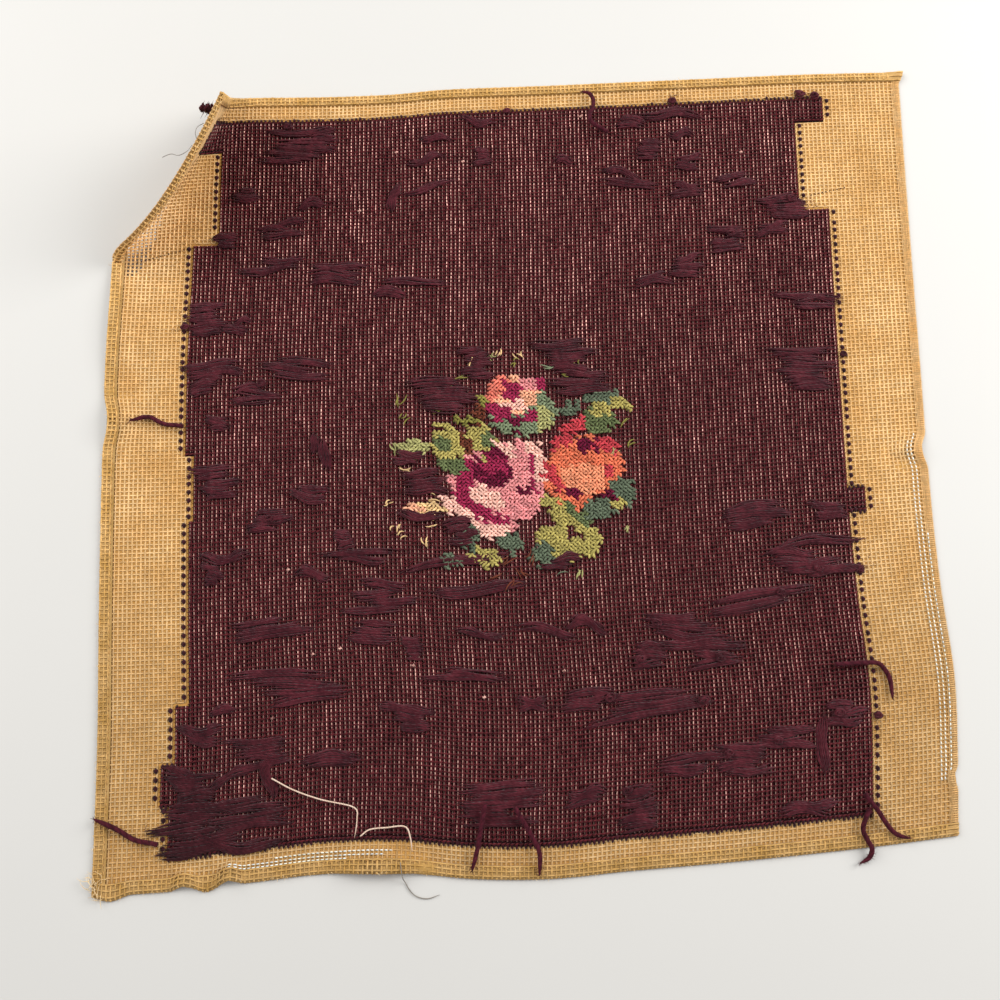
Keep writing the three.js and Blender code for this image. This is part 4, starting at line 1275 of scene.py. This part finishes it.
class BouquetOperator(bpy.types.Operator):
    """Adds the rose bouquet's plump back stitches."""
    bl_idname = "needlepoint.bouquet"
    bl_label = "Rose bouquet"

    def execute(self, context):
        column, row, tint, covered = cells()
        column, row, tint = column[covered], row[covered], tint[covered]
        rng = random("bouquet")
        t = np.array((-1.0, -0.5, 0.5, 1.0))
        strands = Strands()
        # A flat layer under the stitches, darkened to 0.7 as painted shade in the gaps between them, then two
        # plump ones: the lower one darkened as painted shade, the upper one lightened as a painted highlight
        across = column[:, None] + 0.5 + np.array((-0.7, 0.7))
        strands.lay("underlay", across, row[:, None] + 0.5, UNDERLAY_HEIGHT, 0.7 * tint)
        for layer in range(2):
            turn = rng.normal(0.5, 0.75, column.shape) * rng.choice((1, 1, -1), column.shape)
            half = rng.uniform(1.05, 1.6, column.shape)
            east = (half * np.cos(turn))[:, None] * t / PITCH_COLUMN + 0.5 * (1 + layer)
            south = 0.5 * (1 + layer) - (half * np.sin(turn))[:, None] * t / PITCH_ROW
            lift = rng.uniform(0.0, 0.6, column.shape)[:, None] + 0.4 * layer + np.array((1.1, 1.9, 1.9, 1.1))
            points, ups = on_cloth(column[:, None] + east, row[:, None] + south, lift)
            strands.add(points, ups, 0.76 - 0.08 * layer, 0.78, sides=5, taper=(0.45, 1, 1, 0.45),
                        tint=tint * (0.86 + 0.18 * layer))
        self.add_wisps(strands, rng)
        stitches = strands.make("rose_bouquet_stitches", "rose_wool", "dyed_tapestry_wools")
        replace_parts(stitches, "rose_bouquet")
        return {"FINISHED"}

    def add_wisps(self, strands, rng):
        """Adds stray ends of pale wool about the flowers."""
        for wisp in WISPS:
            for _ in range(3):
                t = np.linspace(-0.5, 0.5, 6)
                turn = math.radians(wisp["turn"]) + rng.normal(0, 0.35) + rng.normal(0, 0.8) * t
                far = wisp["long"] * rng.uniform(0.5, 1.0) * t
                x = BOUQUET[0] + wisp["x"] + rng.normal(0, 1.3) + far * np.cos(turn)
                y = BOUQUET[1] + wisp["y"] + rng.normal(0, 1.3) + far * np.sin(turn)
                column, row = to_cell(x, y)
                height = 2.1 + rng.uniform(0, 1.2) - 2 * t ** 2
                tone = np.array(linear(WOOLS[wisp["colour"]])) * rng.uniform(0.7, 1.05)
                strands.lay("wisp", column, row, height, tone)


def combed(strands, patch, rng, base, width):
    """Adds one ragged patch of combed strands, in ropes that wander along its longer side."""
    across_mm, along_mm = patch["wide"] * PITCH_ROW, patch["long"] * PITCH_COLUMN
    upright = across_mm > 1.3 * along_mm
    if upright:
        across_mm, along_mm = along_mm, across_mm
    ropes = max(1, round(across_mm / 2.2))
    t = np.linspace(-1, 1, 10)
    lean = rng.normal(0, 0.1)
    for rope in range(ropes):
        middle = ((2 * rope + 1) / ropes - 1) * across_mm
        half = min(across_mm / ropes, 2.8) * rng.uniform(0.85, 1.2)
        count = max(4, round(2 * half / (0.5 * width)))
        reach = along_mm * rng.uniform(0.65, 1.15)
        shift = rng.normal(0, 0.22) * along_mm
        sway = min(2.6, 0.16 * reach + 0.7) / ropes ** 0.8
        bend = sway * rng.normal(0.9, 0.3) * np.sin(rng.uniform(1.4, 3.2) * t + rng.uniform(0, 6))
        waist = 0.4 * rng.random() * np.cos(3 * t + rng.uniform(0, 6)) ** 2
        gather = (1 - 0.6 / ropes * t ** 4) * (1 - waist)
        offset = half * np.linspace(-1, 1, count)[:, None] + rng.normal(0, 0.3, (count, 1))
        along = shift + reach * rng.uniform(0.7, 1.15, (count, 1)) * t
        stray = rng.normal(0, 0.4, (count, 1)) * np.sin(2.5 * t + rng.uniform(0, 6, (count, 1)))
        across = middle + offset * gather + bend + stray + (lean + rng.normal(0, 0.08)) * along / ropes ** 0.5
        crown = np.sqrt(np.clip(1.1 - (offset / (half + 0.6)) ** 2, 0.05, 1))
        height = base + 1.1 * crown * np.sqrt(np.clip(1 - t ** 4, 0, 1)) + rng.uniform(0, 0.35, (count, 1))
        x, y = (across, along) if upright else (along, across)
        points, ups = on_cloth(patch["column"] + x / PITCH_COLUMN, patch["row"] + y / PITCH_ROW, height)
        # Painted shade: darns near the bottom-left corner are darkened by up to 0.4, like the ground towards
        # the bottom
        dim = 1 - 0.4 * bump((patch["row"] - 184) / 30) * bump((patch["column"] - 20) / 36)
        tone = dim * rng.uniform(0.75, 1.1, (count, 1)) * np.ones(3)
        strands.add(points, ups, 0.56 * width, 0.5 * width, sides=4,
                    taper=(0.2, 0.7, 1, 1, 1, 1, 1, 1, 0.7, 0.2), tint=tone)


class DarnsOperator(bpy.types.Operator):
    """Adds the darned-in yarn, the floats over the bouquet and the knots."""
    bl_idname = "needlepoint.darns"
    bl_label = "Darned-in yarn"

    def execute(self, context):
        rng = random("darns")
        width = sizes().darn / MM
        strands = Strands()
        for patch in DARNS:
            combed(strands, patch, rng, DARN_HEIGHT, width)
        for patch in FLOATS:
            combed(strands, patch, rng, FLOAT_HEIGHT, width)
        strands.make("darned_in_yarn", "maroon_wool", "combed_maroon_wool")
        self.add_knots()
        return {"FINISHED"}

    def add_knots(self):
        """The knots past the stitching and the loops on the darns."""
        rng = random("knots")
        strands = Strands()
        for knot in KNOTS:
            for _ in range(12):
                t = np.linspace(0, 2 * math.pi * rng.uniform(0.5, 1.0), 8) + rng.uniform(0, 6)
                size = knot["size"] * rng.uniform(0.3, 0.75)
                column = knot["column"] + (size * np.cos(t) + rng.normal(0, 0.5)) / PITCH_COLUMN
                row = knot["row"] + (0.7 * size * np.sin(t) + rng.normal(0, 0.5)) / PITCH_ROW
                height = knot["height"] + rng.uniform(0, 1.4) + 0.4 * np.sin(2 * t)
                strands.lay("knot", column, row, height, rng.uniform(0.75, 1.1) * np.ones(3))
        strands.make("yarn_knots", "maroon_wool", "combed_maroon_wool")


class FuzzOperator(bpy.types.Operator):
    """Adds loose hairs on the wool and frayed threads at the canvas edges."""
    bl_idname = "needlepoint.fuzz"
    bl_label = "Hairs and frays"

    def execute(self, context):
        rng = random("hairs")
        strands = Strands()
        for patch in DARNS:
            for side in (-1, 1):
                self.hairs(strands, rng, patch["column"] + side * patch["long"], patch["row"],
                           spread_columns=patch["long"] * 0.4, spread_rows=patch["wide"], **DARN_HAIRS)
        for knot in KNOTS:
            self.hairs(strands, rng, knot["column"], knot["row"], length=knot["size"],
                       height=knot["height"], **KNOT_HAIRS)
        for end in LOOSE_ENDS:
            if end["size"] == YARN:
                self.tail_hairs(strands, rng, end)
        strands.make("wool_hairs", "maroon_wool", "loose_wool_hairs")
        strands = Strands()
        for fray in FRAYS:
            self.hairs(strands, rng, **fray)
        for _ in range(SINGLE_FRAYS):
            self.hairs(strands, rng, 0.2, rng.uniform(0, ROWS), **SINGLE_FRAY)
            column = rng.uniform(0, COLUMNS)
            row = rng.choice((0.2, ROWS - 0.2))
            self.hairs(strands, rng, column, row, **SINGLE_FRAY)
        strands.make("canvas_frays", "cotton_canvas", "frayed_cotton")
        strands = Strands()
        for fibre in CORNER_FIBRES:
            start, _ = on_cloth(0.3, fibre["row"], -0.5)
            curve = smooth_route(np.array(fibre["curve"]) + MIDDLE[:2], 14)
            path = start + np.column_stack((curve, np.linspace(0, -2, 14)))
            strands.add(path, (0.1, 0.2, 1.0), **SECTIONS["stray_fibre"])
        strands.make("corner_fibres", "grey_thread", "stray_grey_fibre")
        return {"FINISHED"}

    def tail_hairs(self, strands, rng, end):
        """Adds the haze of short hairs round a yarn tail."""
        count = TAIL_HAIRS
        plan = smooth_route(end["route"], count)
        middle = np.column_stack((plan, solid_heights(end["name"], plan, 1.2 * YARN)))[:, None]
        t = np.linspace(0, 1, 4)[:, None]
        out = rng.normal(0, 1, (count, 1, 3))
        out[:, :, 2] = np.abs(out[:, :, 2]) * 0.6
        out /= np.linalg.norm(out, axis=-1, keepdims=True)
        curl = rng.normal(0, 0.5, (count, 1, 3)) * (1, 1, 0.3)
        reach = rng.uniform(1.3, 2.9, (count, 1, 1))
        paths = middle + out * reach * t + curl * t * t
        strands.add(paths, (0.1, 0.2, 1.0), **SECTIONS["tail_hair"])

    def hairs(self, strands, rng, column, row, count, length, thick, spread_columns, spread_rows, height=2.0):
        """Adds curved hairs that lie about one place."""
        t = np.linspace(0, 1, 5)
        start = rng.uniform(0, 2 * math.pi, (count, 1))
        angle = start + rng.normal(0, 1.2, (count, 1)) * t
        far = length * rng.uniform(0.4, 1.0, (count, 1)) * t
        column = column + rng.normal(0, spread_columns / 2, (count, 1)) + far * np.cos(angle) / PITCH_COLUMN
        row = row + rng.normal(0, spread_rows / 2, (count, 1)) + far * np.sin(angle) / PITCH_ROW
        points, ups = on_cloth(column, row, height + rng.uniform(0, 0.8, (count, 1)) + 0 * t)
        strands.add(points, ups, thick, thick, taper=(1, 1, 0.9, 0.7, 0.3))


class FaceOperator(bpy.types.Operator):
    """Adds the face side underneath, as plain tent stitch."""
    bl_idname = "needlepoint.face"
    bl_label = "Face side"

    def execute(self, context):
        def tint(column, row):
            colour, covered = chart(column, row)
            return np.where(covered[:, None], colour, np.array(colours().maroon_dark))

        columns = set(range(FIELD_LEFT, FIELD_RIGHT + 1, 2))
        columns |= {band[side] for band in GROUND for side in ("left", "right")}
        rows = set(range(FIELD_TOP, FIELD_BOTTOM + 1, 2))
        rows |= {band[end] for band in GROUND for end in ("first", "last")}
        face = slab("face_side_stitches", sorted(columns), sorted(rows), lambda c, r: is_ground(c, r, 0),
                    FACE_LOW, FACE_HIGH, tint)
        finish_piece(face, "wool_tent_stitch")
        self.add_slant(face.data.materials[0])
        return {"FINISHED"}

    def add_slant(self, material):
        """Adds the relief of tent stitch: slanted ovals, one to each cell of the canvas."""
        shader = material.node_tree.nodes["Principled BSDF"]
        places = add_node(material, "ShaderNodeTexCoord")
        # The UV map counts canvas cells, so one turn of the wave is one stitch
        wave = add_node(material, "ShaderNodeTexWave", {
            "Vector": places.outputs["UV"], "Scale": 0.222, "Distortion": 0.6,
        }, wave_type="BANDS", bands_direction="DIAGONAL")
        relief = add_node(material, "ShaderNodeBump", {
            "Strength": 0.6, "Distance": 0.6 * MM, "Height": wave.outputs["Fac"],
        })
        material.node_tree.links.new(relief.outputs["Normal"], shader.inputs["Normal"])


class NeedlepointPanel(bpy.types.Panel):
    """The settings and the pieces, in the sidebar."""
    bl_label = "Needlepoint"
    bl_idname = "VIEW3D_PT_needlepoint"
    bl_space_type = "VIEW_3D"
    bl_region_type = "UI"
    bl_category = "Needlepoint"

    def draw(self, context):
        for group in (context.scene.needlepoint_sizes, context.scene.needlepoint_colours):
            for key in group.bl_rna.properties.keys()[2:]:
                self.layout.prop(group, key)
        for operator in OPERATORS:
            self.layout.operator(operator.bl_idname)


OPERATORS = (
    StageOperator, LooseEndsOperator, CanvasOperator, GroundOperator,
    BouquetOperator, DarnsOperator, FuzzOperator, FaceOperator,
)
CLASSES = (NeedlepointColours, NeedlepointSizes, *OPERATORS, NeedlepointPanel)


def register():
    for cls in CLASSES:
        bpy.utils.register_class(cls)
    bpy.types.Scene.needlepoint_colours = bpy.props.PointerProperty(type=NeedlepointColours)
    bpy.types.Scene.needlepoint_sizes = bpy.props.PointerProperty(type=NeedlepointSizes)


def unregister():
    del bpy.types.Scene.needlepoint_sizes
    del bpy.types.Scene.needlepoint_colours
    for cls in reversed(CLASSES):
        bpy.utils.unregister_class(cls)


def main():
    """Builds the whole panel."""
    register()
    bpy.ops.object.select_all(action="DESELECT")
    bpy.ops.needlepoint.stage()
    bpy.ops.needlepoint.loose_ends()
    bpy.ops.needlepoint.canvas()
    bpy.ops.needlepoint.ground()
    bpy.ops.needlepoint.bouquet()
    bpy.ops.needlepoint.darns()
    bpy.ops.needlepoint.fuzz()
    bpy.ops.needlepoint.face()


if __name__ == "__main__":
    main()
